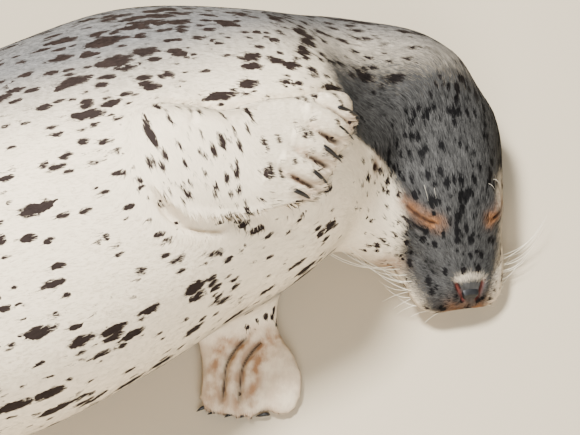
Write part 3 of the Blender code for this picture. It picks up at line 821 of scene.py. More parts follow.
class SEAL_OT_skin(bpy.types.Operator):
    """Grows one skin over all flesh and works face, folds and digits into it"""

    bl_idname = "seal.skin"
    bl_label = "Skin"

    def execute(self, context):
        settings = context.scene.seal_skin
        mesh = joined_flesh(settings.swell)
        mesh = with_modifier(mesh, "REMESH", mode="VOXEL", voxel_size=settings.grid)
        keep_largest(mesh)
        parts = nearest_parts(places_of(mesh))
        edges = edges_of(mesh)
        shares = relaxed(plainness(parts, places_of(mesh)), edges, 1.0, 3)
        put_places(mesh, relaxed(places_of(mesh), edges, shares, settings.softening))
        refined(mesh, parts)
        put_places(mesh, relaxed(places_of(mesh), edges_of(mesh), 0.6, 3))
        tints = sculpt(mesh)
        sunk(mesh, settings.coat_depth / MM)
        mesh.shade_smooth()
        mesh.materials.append(hair_material(context.scene.seal_colours, "short seal hair", True))
        skin = new_piece("seal_skin", mesh)
        for name, values in skin_fields(mesh, tints).items():
            put_attribute(mesh, name, values)
        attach(skin, "root")
        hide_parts(*[name for name in FLESH if name != "nose"])
        return {"FINISHED"}


def skin_fields(mesh, tints):
    """Everything that the hair takes from the skin under it, at the skin's vertices."""
    points = places_of(mesh)
    parts = nearest_parts(points)
    edges = edges_of(mesh)
    normals = read(mesh.vertices, "normal", 3).astype(float)
    lash = tints.pop("lash")
    return {
        "place": points * MM,
        "shade": np.full(len(points), 0.5),
        "part": np.searchsorted(FLESH, parts).astype(float),
        "lie": lie_of_hair(points, parts, edges, normals),
        "length": hair_length(points, parts, edges),
        **tints,
        **coat_masks(points, parts, edges, lash),
    }


# Colours and materials.


def linear(code):
    """Linear red, green and blue of an sRGB hex code, with an alpha of 1."""
    values = [int(code[i:i + 2], 16) / 255 for i in (1, 3, 5)]
    return (*[v / 12.92 if v <= 0.04045 else ((v + 0.055) / 1.055) ** 2.4 for v in values], 1.0)


def colour(name, code, description):
    """A colour setting with an sRGB hex default."""
    return bpy.props.FloatVectorProperty(
        name=name, description=description, default=linear(code), subtype="COLOR", size=4,
    )


class SealColourSettings(bpy.types.PropertyGroup):
    belly: colour("Belly", "#efddbf", "Cream hair of belly, flippers and cheeks")
    back: colour("Back", "#6f6d6a", "Silver grey hair of the back")
    crown: colour("Crown", "#3a3937", "Grey hair of crown and brow")
    mark: colour("Marks", "#2a211d", "Dark brown spots and streaks")
    crown_mark: colour("Crown marks", "#0b0a0a", "Near black spots on the crown")
    # Stain: also the colour of the painted shadow under the folded flipper's lower edge.
    stain: colour("Stain", "#8d5d36", "Hair stained orange-brown by wet and sand")
    # Folds: dark lines along the lids' slit, the mouth and the philtrum, and painted shade in the ears'
    # openings, at the bottom of the grooves between the digits and along the palm's deep furrows.
    dark: colour("Folds", "#2a1a12", "Wet dark skin between lids, lips and digits")
    flesh: colour("Nostrils", "#542a23", "Reddish skin inside the nostrils")
    horn: colour("Claws", "#151211", "Dark horn of the claws")
    pad: colour("Nose pad", "#0d0d0f", "Black leathery skin of the nose")
    whisker: colour("Whiskers", "#efe6cf", "Pale horn of the whiskers")


# What the hair's colour is worked out from, stored on the skin and on every tuft.
PAINTED = (
    "place", "grey", "back", "stain", "limb", "face", "patch", "dark", "flesh", "shade", "unmarked",
)


def add(tree, kind, sockets=None, **settings):
    """Adds a node. Sockets maps inputs to values, outputs or nodes, whose first output feeds them."""
    node = tree.nodes.new(kind)
    for name, value in settings.items():
        setattr(node, name, value)
    for name, value in (sockets or {}).items():
        if isinstance(value, bpy.types.Node):
            value = value.outputs[0]
        if isinstance(value, bpy.types.NodeSocket):
            tree.links.new(value, node.inputs[name])
        else:
            node.inputs[name].default_value = value
    return node


TRUNK_TURN = math.radians(21)  # of the trunk's long axis from +X
ARM_TURN = math.radians(-66)  # of the streaks on the folded flipper
# Spots: turn, cell in mm, how many times longer than wide, spread and least size in cells, and
# what the back adds to the size. A least size below 0 leaves some cells bare.
SPOTS = {
    "trunk": (TRUNK_TURN, 15.5, 2.9, 0.88, -0.31, 0.02),
    "flecks": (TRUNK_TURN, 9.0, 2.5, 0.85, -0.37, 0.22),
    "limb": (ARM_TURN, 7.0, 5.0, 0.90, -0.26, 0.0),
    "face": (HEAD_HEADING, 7.0, 1.9, 0.90, -0.32, 0.14),
}
SPOT_EDGE = 0.09  # softness of a spot's edge, in cells
SPOT_FUZZ = 0.20  # how much the tufts at a spot's edge differ, in cells
WARP_MM = 9.0  # waves that bend the spots' edges
WARP = 0.60  # how far they bend them, in cells
CLUSTER_MM = 95.0  # stretches where spots are looser or more crowded
CLUSTER_NOISE = (0.35, 0.65)  # values of the noise at a loose and a crowded stretch
CROWDING = (-0.10, 0.06)  # what they add to a spot's size, in cells
CAP_RAGGED = 0.5  # how far hairs of both colours mix where the cap ends
CAP_ENDS = (0.5, 1.0)  # of cap and hairs together: where the cap starts and where it is full
PATCH_RAGGED = 0.7  # the same two, of the dark patches
PATCH_ENDS = (1.15, 1.35)
HAIR_MM = 2.2  # streaks of lighter and darker hair, drawn coarser than single hairs so they show
DAPPLE_MM = 12.0
DAPPLE_NOISE = (0.35, 0.60)  # values of the noise between two dapples and inside one
DAPPLE_LEAST = 0.35  # share of the stain that is left between them
MOTTLE = (HEAD_HEADING, 5.5, 2.4)  # of the cap's grey: turn, width in mm, length over width
MOTTLE_WEIGHT = 1.2  # beside the tufts' own shades
MOTTLE_ENDS = (0.50, 1.70)  # of both together: at the darkest and the palest hairs
CONTRAST = {"belly": 0.08, "back": 0.50, "cap": 0.90}  # between pale and dark hairs


def spots(tree, place, warp, thicker, turn, cell, stretch, spread, least):
    """Loose spots, longer along the lie of the hair, with ragged edges. 1 inside a spot."""
    mapped = add(tree, "ShaderNodeMapping", {
        "Vector": place, "Rotation": (0, 0, turn), "Scale": (cell * stretch * MM, cell * MM, cell * MM),
    }, vector_type="TEXTURE")
    bent = add(tree, "ShaderNodeVectorMath", {0: mapped, 1: warp}, operation="ADD")
    cells = add(tree, "ShaderNodeTexVoronoi", {"Vector": bent, "Scale": 1.0})
    own = add(tree, "ShaderNodeSeparateColor", {0: cells.outputs["Color"]})
    size = add(tree, "ShaderNodeMath", {0: own, 1: spread, 2: least}, operation="MULTIPLY_ADD")
    size = add(tree, "ShaderNodeMath", {0: size, 1: thicker})
    inside = add(tree, "ShaderNodeMath", {0: size, 1: cells.outputs["Distance"]}, operation="SUBTRACT")
    return add(tree, "ShaderNodeMath", {
        0: inside, 1: 1 / SPOT_EDGE, 2: 0.5,
    }, operation="MULTIPLY_ADD", use_clamp=True)


def spot_crowding(tree, fields):
    """What is added to a spot's size: looser and more crowded stretches, and each tuft's own fuzz."""
    cluster = add(tree, "ShaderNodeTexNoise", {
        "Vector": fields["place"], "Scale": 1 / (CLUSTER_MM * MM), "Detail": 1.0,
    })
    # Less 1, which a spot gets back well inside its own part.
    loose, crowded = CLUSTER_NOISE
    low, high = CROWDING
    crowding = add(tree, "ShaderNodeMapRange", {
        "Value": cluster, "From Min": loose, "From Max": crowded, "To Min": low - 1, "To Max": high - 1,
    })
    crowding = add(tree, "ShaderNodeMath", {
        0: fields["shade"], 1: SPOT_FUZZ, 2: crowding,
    }, operation="MULTIPLY_ADD")
    return add(tree, "ShaderNodeMath", {0: crowding, 1: SPOT_FUZZ / 2}, operation="SUBTRACT")


def spot_layer(tree, fields):
    """The dark spots, each kind on its own part of the seal."""
    place, limb, face = fields["place"], fields["limb"], fields["face"]
    warped = add(tree, "ShaderNodeTexNoise", {"Vector": place, "Scale": 1 / (WARP_MM * MM), "Detail": 5.0})
    warp = add(tree, "ShaderNodeVectorMath", {
        0: warped.outputs["Color"], 1: (0.5, 0.5, 0.5),
    }, operation="SUBTRACT")
    warp = add(tree, "ShaderNodeVectorMath", {0: warp, "Scale": WARP}, operation="SCALE")
    crowding = spot_crowding(tree, fields)
    trunk = add(tree, "ShaderNodeMath", {0: 1.0, 1: limb}, operation="SUBTRACT")
    trunk = add(tree, "ShaderNodeMath", {0: trunk, 1: face}, operation="SUBTRACT", use_clamp=True)
    where = {"trunk": trunk, "flecks": trunk, "limb": limb, "face": face}
    darkest = 0.0
    for name, (turn, cell, stretch, spread, least, more) in SPOTS.items():
        thicker = add(tree, "ShaderNodeMath", {
            0: fields["grey" if name == "face" else "back"], 1: more, 2: crowding,
        }, operation="MULTIPLY_ADD")
        # Spots shrink towards the end of their own part, so none is cut off or fades.
        here = add(tree, "ShaderNodeMath", {0: where[name], 1: fields["unmarked"]}, operation="SUBTRACT")
        thicker = add(tree, "ShaderNodeMath", {0: here, 1: thicker})
        mask = spots(tree, place, warp, thicker, turn, cell, stretch, spread, least)
        darkest = add(tree, "ShaderNodeMath", {0: darkest, 1: mask}, operation="MAXIMUM")
    return darkest


def patch_layer(tree, fields):
    """Dark patches of lashes and whisker pads, which end in streaks."""
    hairs = add(tree, "ShaderNodeTexNoise", {
        "Vector": fields["place"], "Scale": 1 / (HAIR_MM * MM), "Detail": 2.0,
    })
    ragged = add(tree, "ShaderNodeMath", {0: hairs, 1: fields["shade"]}, operation="ADD")
    ragged = add(tree, "ShaderNodeMath", {
        0: ragged, 1: PATCH_RAGGED, 2: fields["patch"],
    }, operation="MULTIPLY_ADD")
    low, high = PATCH_ENDS
    return add(tree, "ShaderNodeMapRange", {"Value": ragged, "From Min": low, "From Max": high})


def stain_and_shadow_layer(tree, fields):
    """Stains and the painted shadow under the flipper's edge, which come in dapples."""
    dapple = add(tree, "ShaderNodeTexNoise", {
        "Vector": fields["place"], "Scale": 1 / (DAPPLE_MM * MM), "Detail": 3.0,
    })
    low, high = DAPPLE_NOISE
    dapple = add(tree, "ShaderNodeMapRange", {
        "Value": dapple, "From Min": low, "From Max": high, "To Min": DAPPLE_LEAST,
    })
    return add(tree, "ShaderNodeMath", {0: fields["stain"], 1: dapple}, operation="MULTIPLY")


def cap_layer(tree, fields):
    """The grey cap, which ends in hairs of both colours, so its edge is ragged."""
    ragged = add(tree, "ShaderNodeMath", {
        0: fields["shade"], 1: CAP_RAGGED, 2: fields["grey"],
    }, operation="MULTIPLY_ADD")
    low, high = CAP_ENDS
    return add(tree, "ShaderNodeMapRange", {"Value": ragged, "From Min": low, "From Max": high})


def hair_tone(tree, fields):
    """Pale and dark hairs in short streaks: a strong mix on the cap, nearly even on the cream."""
    turn, width, longer = MOTTLE
    mapped = add(tree, "ShaderNodeMapping", {
        "Vector": fields["place"], "Rotation": (0, 0, turn),
        "Scale": (width * longer * MM, width * MM, width * MM),
    }, vector_type="TEXTURE")
    mottle = add(tree, "ShaderNodeTexNoise", {"Vector": mapped, "Scale": 1.0, "Detail": 4.0})
    mixture = add(tree, "ShaderNodeMath", {
        0: mottle, 1: MOTTLE_WEIGHT, 2: fields["shade"],
    }, operation="MULTIPLY_ADD")
    low, high = MOTTLE_ENDS
    mixture = add(tree, "ShaderNodeMapRange", {
        "Value": mixture, "From Min": low, "From Max": high, "To Min": -1.0, "To Max": 1.0,
    })
    contrast = add(tree, "ShaderNodeMath", {
        0: fields["back"], 1: CONTRAST["back"], 2: CONTRAST["belly"],
    }, operation="MULTIPLY_ADD")
    contrast = add(tree, "ShaderNodeMath", {
        0: fields["grey"], 1: CONTRAST["cap"], 2: contrast,
    }, operation="MULTIPLY_ADD")
    return add(tree, "ShaderNodeMath", {0: mixture, 1: contrast, 2: 1.0}, operation="MULTIPLY_ADD")


def hair_colour(tree, colours):
    """Cream to grey hair with the cap, the dark spots, the stains with the painted shadow under the
    flipper's edge, and the dark folds with painted shade in ears, digit grooves and palm furrows.
    """
    fields = {}
    for name in PAINTED:
        attribute = add(tree, "ShaderNodeAttribute", attribute_name=name)
        fields[name] = attribute.outputs["Vector" if name == "place" else "Fac"]
    mark = add(tree, "ShaderNodeMix", {
        "Factor": fields["grey"], 6: tuple(colours.mark), 7: tuple(colours.crown_mark),
    }, data_type="RGBA").outputs[2]
    layers = (
        (fields["back"], tuple(colours.back)),
        (cap_layer(tree, fields), tuple(colours.crown)),
        # Stains, and the painted shadow under the flipper's edge.
        (stain_and_shadow_layer(tree, fields), tuple(colours.stain)),
        (spot_layer(tree, fields), mark),
        (patch_layer(tree, fields), mark),
        # Dark lines of lids, mouth and philtrum, and painted shade in ears, digit grooves and palm furrows.
        (fields["dark"], tuple(colours.dark)),
        (fields["flesh"], tuple(colours.flesh)),
    )
    seen = tuple(colours.belly)
    for factor, paint in layers:
        seen = add(tree, "ShaderNodeMix", {"Factor": factor, 6: seen, 7: paint}, data_type="RGBA").outputs[2]
    return add(tree, "ShaderNodeHueSaturation", {"Color": seen, "Value": hair_tone(tree, fields)}).outputs[0]


def new_material(name, roughness):
    """A material and its shader."""
    made = bpy.data.materials.new(name)
    made.use_nodes = True
    shader = made.node_tree.nodes["Principled BSDF"]
    shader.inputs["Roughness"].default_value = roughness
    return made, shader


HAIR_ROUGHNESS = 0.72
HAIR_SPECULAR = 0.10
GRAIN_MM = 1.6  # of the skin between the tufts
GRAIN_DEPTH = 0.6  # in millimetres
GRAIN_STRENGTH = 0.25


def hair_material(colours, name, with_bump):
    """Seal hair: short flat guard hairs that together give a soft satin surface."""
    made = bpy.data.materials.get(name)
    if made:
        return made
    made, shader = new_material(name, HAIR_ROUGHNESS)
    tree = made.node_tree
    tree.links.new(hair_colour(tree, colours), shader.inputs["Base Color"])
    shader.inputs["Specular IOR Level"].default_value = HAIR_SPECULAR
    if with_bump:
        place = add(tree, "ShaderNodeAttribute", attribute_name="place").outputs["Vector"]
        grain = add(tree, "ShaderNodeTexNoise", {
            "Vector": place, "Scale": 1 / (GRAIN_MM * MM), "Detail": 3.0,
        })
        bump = add(tree, "ShaderNodeBump", {
            "Height": grain, "Strength": GRAIN_STRENGTH, "Distance": GRAIN_DEPTH * MM,
        })
        tree.links.new(bump.outputs[0], shader.inputs["Normal"])
    return made


# Coat.

# Parts that a piece of the coat grows on, by the start of their names, and its number of tufts.
COAT_PIECES = {
    "coat_head": (HEAD_PARTS, 46000),
    "coat_neck": (("neck",), 40000),
    "coat_chest": (("chest",), 46000),
    "coat_belly": (("belly",), 46000),
    "coat_hips": (("hips", "tail"), 40000),
    "coat_right_arm": (("forearm_right", "hand_right"), 26000),
    "coat_left_arm": (("forearm_left", "hand_left"), 12000),
    "coat_hind": (("hind",), 18000),
}
TUFT_SLENDERNESS = 7.5  # length over width
TUFT_LIFT = 0.042  # height of the tip over the skin, to the length
FLOOR_GAP = 3.0  # no tufts on what lies on the floor, in millimetres
PATCH = 0.003  # of a tuft in its map
MAP_MARGIN = 0.01
MAP_STEPS = 33  # in which its places are evened out
MAP_SKIP = 7  # one place in so many is enough to find a piece's long way
BARE = 0.35  # share of dark fold or bare flesh from which on no tufts grow
NOSE_CLEARANCE = 13  # no tufts nearer than this to the middle of the nose
TUFT_TURN = 0.13  # scatter of a tuft's way, sideways
TUFT_SIZES = (0.75, 1.25)
TUFT_LIFTS = (0.6, 1.5)
TUFT_OVER_FLOOR = 0.3
TUFT_SHADING = (0.07, 0.05)  # scatter of its normal, sideways and along
# Corners of a tuft, as shares of width (sideways), length (along the lie) and height: left, right,
# foot and tip. Its faces look outwards.
TUFT_CORNERS = np.array([(0.5, 0.0, 0.15), (-0.5, 0.0, 0.15), (0.0, 0.25, -0.35), (0.0, 1.0, 1.0)])
TUFT_FACES = np.array([(1, 3, 0), (0, 3, 2), (1, 2, 3), (0, 2, 1)])
PATCH_CORNERS = np.array([(-0.5, -0.5), (0.5, -0.5), (0.0, -0.1), (0.0, 0.5)]) * PATCH


def attribute_of(mesh, name):
    attribute = mesh.attributes[name]
    vector = attribute.data_type == "FLOAT_VECTOR"
    return read(attribute.data, "vector" if vector else "value", 3 if vector else 1).astype(float)


def triangles_of(mesh):
    mesh.calc_loop_triangles()
    return read(mesh.loop_triangles, "vertices", 3, np.int32)


def scattered(points, triangles, weights, count, dice):
    """Random places on a mesh: the corners and shares of the triangle that each lies on."""
    a, b, c = (points[triangles[:, i]] for i in range(3))
    area = np.linalg.norm(np.cross(b - a, c - a), axis=1) * weights
    chosen = triangles[dice.choice(len(triangles), count, p=area / area.sum())]
    first, second = dice.random((2, count))
    over = first + second > 1
    first[over], second[over] = 1 - first[over], 1 - second[over]
    return chosen, np.stack([1 - first - second, first, second], axis=1)


def evened(values):
    """Values brought to 0..1 so that equal steps hold about equally many."""
    ranks = np.linspace(0, 1, MAP_STEPS)
    marks = np.quantile(values, ranks) + ranks * 1e-6  # so that no two are equal
    return np.interp(values, marks, ranks)


def unrolled(points):
    """Places on an unwrap of a rounded form: along its length and round it, each 0 to 1."""
    middle = points.mean(0)
    ways = np.linalg.svd((points - middle)[::MAP_SKIP], full_matrices=False)[2]
    along, wide, thick = ((points - middle) @ ways.T).T
    around = np.arctan2(thick / np.abs(thick).max(), wide / np.abs(wide).max())
    return np.stack([evened(along), evened(around)], axis=1) * (1 - 2 * MAP_MARGIN) + MAP_MARGIN


def grown_on(skin, points, names):
    """The skin's triangles that hair of some parts grows on."""
    triangles = triangles_of(skin)
    part_names = np.array(FLESH)[attribute_of(skin, "part").astype(int)]
    bare = attribute_of(skin, "dark") + attribute_of(skin, "flesh")
    wanted = among(part_names, names)[triangles[:, 0]]
    wanted &= points[triangles][:, :, 2].min(1) > FLOOR_GAP
    wanted &= bare[triangles].max(1) < BARE
    wanted &= np.linalg.norm(points[triangles[:, 0]] - NOSE, axis=1) > NOSE_CLEARANCE
    return triangles[wanted]


def tuft_mesh(name, corners, roots):
    """Closed tufts of four triangles, each with its own patch of the OFBake map."""
    faces = (np.arange(len(corners))[:, None, None] * 4 + TUFT_FACES[None]).reshape(-1, 3)
    mesh = bpy.data.meshes.new(name)
    mesh.vertices.add(len(corners) * 4)
    put_places(mesh, corners.reshape(-1, 3))
    mesh.loops.add(faces.size)
    mesh.loops.foreach_set("vertex_index", faces.ravel().astype(np.int32))
    mesh.polygons.add(len(faces))
    mesh.polygons.foreach_set("loop_start", np.arange(0, faces.size, 3, dtype=np.int32))
    mesh.update(calc_edges=True)
    patches = (unrolled(roots)[:, None] + PATCH_CORNERS[None]).reshape(-1, 2)[faces.ravel()]
    mesh.uv_layers.new(name="OFBake").data.foreach_set("uv", patches.astype(np.float32).ravel())
    return mesh


def grow_piece(skin, name, names, count, colours, dice):
    """One piece of the coat: tufts rooted on the skin, closer together where the hair is short."""
    points = places_of(skin)
    length = attribute_of(skin, "length")
    triangles = grown_on(skin, points, names)
    weights = 1 / length[triangles[:, 0]] ** 2
    chosen, shares = scattered(points, triangles, weights, count, dice)

    def on_root(values):
        if values.ndim == 1:
            return np.sum(values[chosen] * shares, axis=1)
        return np.sum(values[chosen] * shares[:, :, None], axis=1)

    normals = unit(on_root(read(skin.vertices, "normal", 3).astype(float)))
    side = unit(np.cross(normals, on_root(attribute_of(skin, "lie"))))
    lie = unit(np.cross(side, normals) + side * dice.normal(0, TUFT_TURN, (count, 1)))
    side = unit(np.cross(normals, lie))
    long = on_root(length) * dice.uniform(*TUFT_SIZES, count)
    lift = TUFT_LIFT * dice.uniform(*TUFT_LIFTS, count)
    sizes = np.stack([long / TUFT_SLENDERNESS, long, long * lift], axis=1)
    ways = np.stack([side, lie, normals], axis=1)
    roots = on_root(points)
    corners = np.einsum("kj,nj,nji->nki", TUFT_CORNERS, sizes, ways) + roots[:, None]
    corners[:, :, 2] = np.maximum(corners[:, :, 2], TUFT_OVER_FLOOR)
    mesh = tuft_mesh(name, corners, roots)
    for field in PAINTED:
        values = dice.random(count) if field == "shade" else on_root(attribute_of(skin, field))
        put_attribute(mesh, field, np.repeat(values, 4, axis=0))
    mesh.shade_smooth()
    sideways, lengthways = TUFT_SHADING
    tilt = side * dice.normal(0, sideways, (count, 1)) + lie * dice.normal(0, lengthways, (count, 1))
    mesh.normals_split_custom_set_from_vertices(np.repeat(unit(normals + tilt), 4, axis=0).tolist())
    mesh.materials.append(hair_material(colours, "short seal hair tufts", False))
    return mesh


class SEAL_OT_coat(bpy.types.Operator):
    """Grows the short hair over the skin"""

    bl_idname = "seal.coat"
    bl_label = "Coat"

    def execute(self, context):
        skin = bpy.data.objects["seal_skin"].data
        dice = np.random.default_rng(SEED)
        for name, (names, count) in COAT_PIECES.items():
            mesh = grow_piece(skin, name, names, count, context.scene.seal_colours, dice)
            piece = new_piece(name, mesh)
            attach(piece, "root")
        return {"FINISHED"}


# Nose, claws and whiskers.


def plain_material(name, paint, roughness, grain_mm, depth, stretch=(1, 1, 1), contrast=0.25):
    """A material of one colour with a fine grain in its tone and its surface."""
    made, shader = new_material(name, roughness)
    tree = made.node_tree
    place = add(tree, "ShaderNodeTexCoord").outputs["Object"]
    mapped = add(tree, "ShaderNodeMapping", {"Vector": place, "Scale": stretch})
    grain = add(tree, "ShaderNodeTexNoise", {
        "Vector": mapped, "Scale": 1 / (grain_mm * MM), "Detail": 3.0,
    })
    tone = add(tree, "ShaderNodeMapRange", {"Value": grain, "To Min": 1 - contrast, "To Max": 1 + contrast})
    toned = add(tree, "ShaderNodeHueSaturation", {"Color": tuple(paint), "Value": tone})
    tree.links.new(toned.outputs[0], shader.inputs["Base Color"])
    bump = add(tree, "ShaderNodeBump", {"Height": grain, "Strength": 0.5, "Distance": depth * MM})
    tree.links.new(bump.outputs[0], shader.inputs["Normal"])
    return made


NOSE_PAD = (12.5, 7.0, 10.0)  # half width, reach before the middle and half height
NOSE_PLACE = (2.5, 0.0, -4.0)  # on the head
NOSE_NARROWING = 0.62  # towards the lip
NOSE_ROUNDNESS = 0.55  # from a cube (0) to a ball (1), so the pad has broad round corners
NOSE_GROOVE = (0.16, 1.2)  # down the middle of its front: half width as a share, and depth


class SEAL_OT_nose(bpy.types.Operator):
    """Adds the bare black pad of the nose"""

    bl_idname = "seal.nose"
    bl_label = "Nose"

    def execute(self, context):
        form = bmesh.new()
        bmesh.ops.create_cube(form, size=2.0)
        bmesh.ops.subdivide_edges(form, edges=form.edges[:], cuts=3, use_grid_fill=True)
        wide, deep, high = NOSE_PAD
        half_width, depth = NOSE_GROOVE
        for vertex in form.verts:
            ball = vertex.co.normalized()
            across, ahead, up = vertex.co * (1 - NOSE_ROUNDNESS) + ball * NOSE_ROUNDNESS
            narrow = 1 - NOSE_NARROWING * (1 - up) / 2
            groove = depth * math.exp(-(across / half_width) ** 2) * (ahead > 0)
            offset = np.array((groove - ahead * deep, across * wide * narrow, up * high))
            vertex.co = on_head(NOSE_PLACE + offset)[0] * MM
        bmesh.ops.recalc_face_normals(form, faces=form.faces)
        mesh = with_modifier(mesh_of(form, "nose_pad"), "SUBSURF", levels=3, render_levels=3)
        mesh.shade_smooth()
        paint = context.scene.seal_colours.pad
        # Wet, finely pebbled skin: small soft glints on black.
        mesh.materials.append(plain_material(
            "pebbled nose skin", paint, roughness=0.55, grain_mm=1.1, depth=0.35,
        ))
        nose = new_piece("nose_pad", mesh)
        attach(nose, "root")
        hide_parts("nose")
        return {"FINISHED"}


CLAW_LENGTH = {"fore_left": 0.85}  # of the solid's
OTHER_LENGTH = 0.95
CLAW_SLAB = 1.2  # half the width of the ring that gives a claw's axis
CLAW_TAPER = 1.5  # how late it thins
CLAW_ROOT = 0.15  # share of its length that is its root
CLAW_STOUTNESS = (1.5, 0.8)  # thickness at root and tip, to the solid's
CLAW_TURN = {"fore_left": math.radians(-52)}  # the palm's claws lie across the ends of the digits


class SEAL_OT_claws(bpy.types.Operator):
    """Makes the claws of each flipper one piece of smooth horn"""

    bl_idname = "seal.claws"
    bl_label = "Claws"

    def execute(self, context):
        paint = context.scene.seal_colours.horn
        # Horn: dark and dull, with fine lines along the claw.
        horn = plain_material(
            "claw horn", paint, roughness=0.45, grain_mm=1.2, depth=0.2, stretch=(1.0, 0.35, 1.0),
            contrast=0.35,
        )
        for limb in ("fore_right", "fore_left", "hind_right", "hind_left"):
            names = claw_names(limb)
            form = bmesh.new()
            for name in names:
                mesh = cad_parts[name].data.copy()
                put_places(mesh, self.shaped(places_of(mesh), limb))
                form.from_mesh(mesh)
                bpy.data.meshes.remove(mesh)
            bmesh.ops.remove_doubles(form, verts=form.verts, dist=1e-6)
            mesh = with_modifier(mesh_of(form, "claws_" + limb), "SUBSURF", levels=2, render_levels=2)
            mesh.shade_smooth()
            mesh.materials.clear()
            mesh.materials.append(horn)
            claws = new_piece("claws_" + limb, mesh)
            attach(claws, "root")
            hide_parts(*names)
        return {"FINISHED"}

    @staticmethod
    def shaped(points, limb):
        """A claw's solid made stout at the root and pointed at the tip, in millimetres."""
        kind, side = limb.split("_")
        paw = middle_of("hand_" + side if kind == "fore" else "hind_flipper_" + side)
        middle = points.mean(0)
        way = np.linalg.svd(points - middle, full_matrices=False)[2][0]
        if (paw - middle) @ way > 0:
            way = -way
        along = (points - middle) @ way
        share = (along - along.min()) / np.ptp(along)
        axis = middle + along[:, None] * way
        # The axis of an arched claw: the mean of the ring of vertices near each station.
        for i, station in enumerate(along):
            axis[i] = points[np.abs(along - station) < CLAW_SLAB].mean(0)
        at_root, at_tip = CLAW_STOUTNESS
        stout = at_root + (at_tip - at_root) * share**CLAW_TAPER
        shaped = axis + (points - axis) * stout[:, None]
        root = points[share < CLAW_ROOT].mean(0)
        spin = np.array(Matrix.Rotation(CLAW_TURN.get(limb, 0.0), 3, "Z"))
        return root + ((shaped - root) @ spin.T) * CLAW_LENGTH.get(limb, OTHER_LENGTH)


# Whiskers in rows, from the lip up. Place of a row's front and back root on the right side of the
# head, number of whiskers, the length of the front and back one, and the ways they start and end.
PAD_WAYS = ((0.12, 1.0, 0.06), (1.0, 0.62, 0.34))
LIP_WAYS = ((0.0, 1.0, -0.3), (-0.35, 1.0, -0.7))
BROW_WAYS = ((-0.5, 0.2, 0.8), (-1.0, 0.1, 0.1))
WHISKER_ROWS = (
    ((2, 28, -28), (26, 54, -34), 5, 20, 30, LIP_WAYS),
    ((10, 46, -28), (34, 66, -32), 4, 26, 46, PAD_WAYS),
    ((20, 58, -20), (48, 74, -24), 4, 64, 150, PAD_WAYS),
    ((28, 62, -12), (50, 74, -15), 4, 74, 142, PAD_WAYS),
    ((106, 34, 58), (112, 44, 56), 2, 24, 30, BROW_WAYS),
)
WHISKER_RADIUS = 0.44
WHISKER_RINGS = 15
WHISKER_SIDES = 5
LEFT_SHORTER = 0.56  # the left whiskers are pressed against the ground
WHISKER_SPREAD = 0.13  # scatter of a whisker's ways
WHISKER_LENGTHS = (0.85, 1.12)  # scatter of its length
WHISKER_BEND = (0.50, 0.55)  # shares of its length before and after the bend
WHISKER_TAPER = 0.85
BROW_THINNER = 0.5
ROOT_DEPTH = 2.5
RING_WAY = (0.3, 0.2, 0.9)  # square to this lies the first corner of each ring of a whisker
WHISKER_OVER_FLOOR = 1.0


def whisker_path(root, side, length, ways, dice):
    """A whisker's curve, which starts one way out of the skin and bends into the other."""
    out, back = np.array(ways) * (1, side, 1) + dice.normal(0, WHISKER_SPREAD, (2, 3))
    along = np.linspace(0, 1, WHISKER_RINGS)[:, None]
    before, after = WHISKER_BEND
    bend = root + unit(out) * length * before
    end = bend + unit(back) * length * after
    return (1 - along) ** 2 * root + 2 * along * (1 - along) * bend + along**2 * end


def tube(form, path, radius):
    """A closed tapered tube along a path, in millimetres."""
    ways = unit(np.gradient(path, axis=0))
    first = unit(np.cross(ways, RING_WAY))
    second = np.cross(ways, first)
    rings = []
    for i, place in enumerate(path):
        share = i / (len(path) - 1)
        reach = radius * (1 - WHISKER_TAPER * share)
        ring = []
        for k in range(WHISKER_SIDES):
            angle = math.tau * k / WHISKER_SIDES
            at = place + (first[i] * math.cos(angle) + second[i] * math.sin(angle)) * reach
            ring.append(form.verts.new(at * MM))
        rings.append(ring)
    for low, high in zip(rings, rings[1:]):
        for k in range(WHISKER_SIDES):
            other = (k + 1) % WHISKER_SIDES
            form.faces.new((low[k], low[other], high[other], high[k]))
    form.faces.new(rings[0][::-1])
    form.faces.new(rings[-1])


class SEAL_OT_whiskers(bpy.types.Operator):
    """Adds the whiskers of pads and brows"""

    bl_idname = "seal.whiskers"
    bl_label = "Whiskers"

    def execute(self, context):
        tree = tree_of(bpy.data.objects["seal_skin"].data)
        dice = np.random.default_rng(SEED + 1)
        form = bmesh.new()
        for side in SIDES.values():
            for front, rear, count, short, long, ways in WHISKER_ROWS:
                for share in np.linspace(0, 1, count):
                    root = np.array(front) * (1 - share) + np.array(rear) * share
                    length = (short + (long - short) * share) * dice.uniform(*WHISKER_LENGTHS)
                    radius = WHISKER_RADIUS * (BROW_THINNER if ways is BROW_WAYS else 1)
                    self.plant(form, tree, root, side, length, ways, radius, dice)
        bmesh.ops.recalc_face_normals(form, faces=form.faces)
        mesh = mesh_of(form, "whiskers")
        mesh.shade_smooth()
        # Pale, slightly waxy horn, smooth enough for a thin glint.
        paint = context.scene.seal_colours.whisker
        mesh.materials.append(plain_material(
            "whisker horn", paint, roughness=0.38, grain_mm=3.0, depth=0.05, contrast=0.08,
        ))
        whiskers = new_piece("whiskers", mesh)
        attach(whiskers, "root")
        return {"FINISHED"}

    @staticmethod
    def plant(form, tree, root, side, length, ways, radius, dice):
        """One whisker, rooted in the skin and kept over the floor."""
        root = root * (1, side, 1)
        on_skin = np.array(tree.find_nearest(on_head(root)[0])[0])
        if side < 0:
            length *= LEFT_SHORTER
        path = whisker_path(from_head(on_skin[None])[0], side, length, ways, dice)
        path = on_head(*path)
        path[0] -= unit(path[1] - path[0]) * ROOT_DEPTH
        path[:, 2] = np.maximum(path[:, 2], WHISKER_OVER_FLOOR)
        tube(form, path, radius)


# Stage.


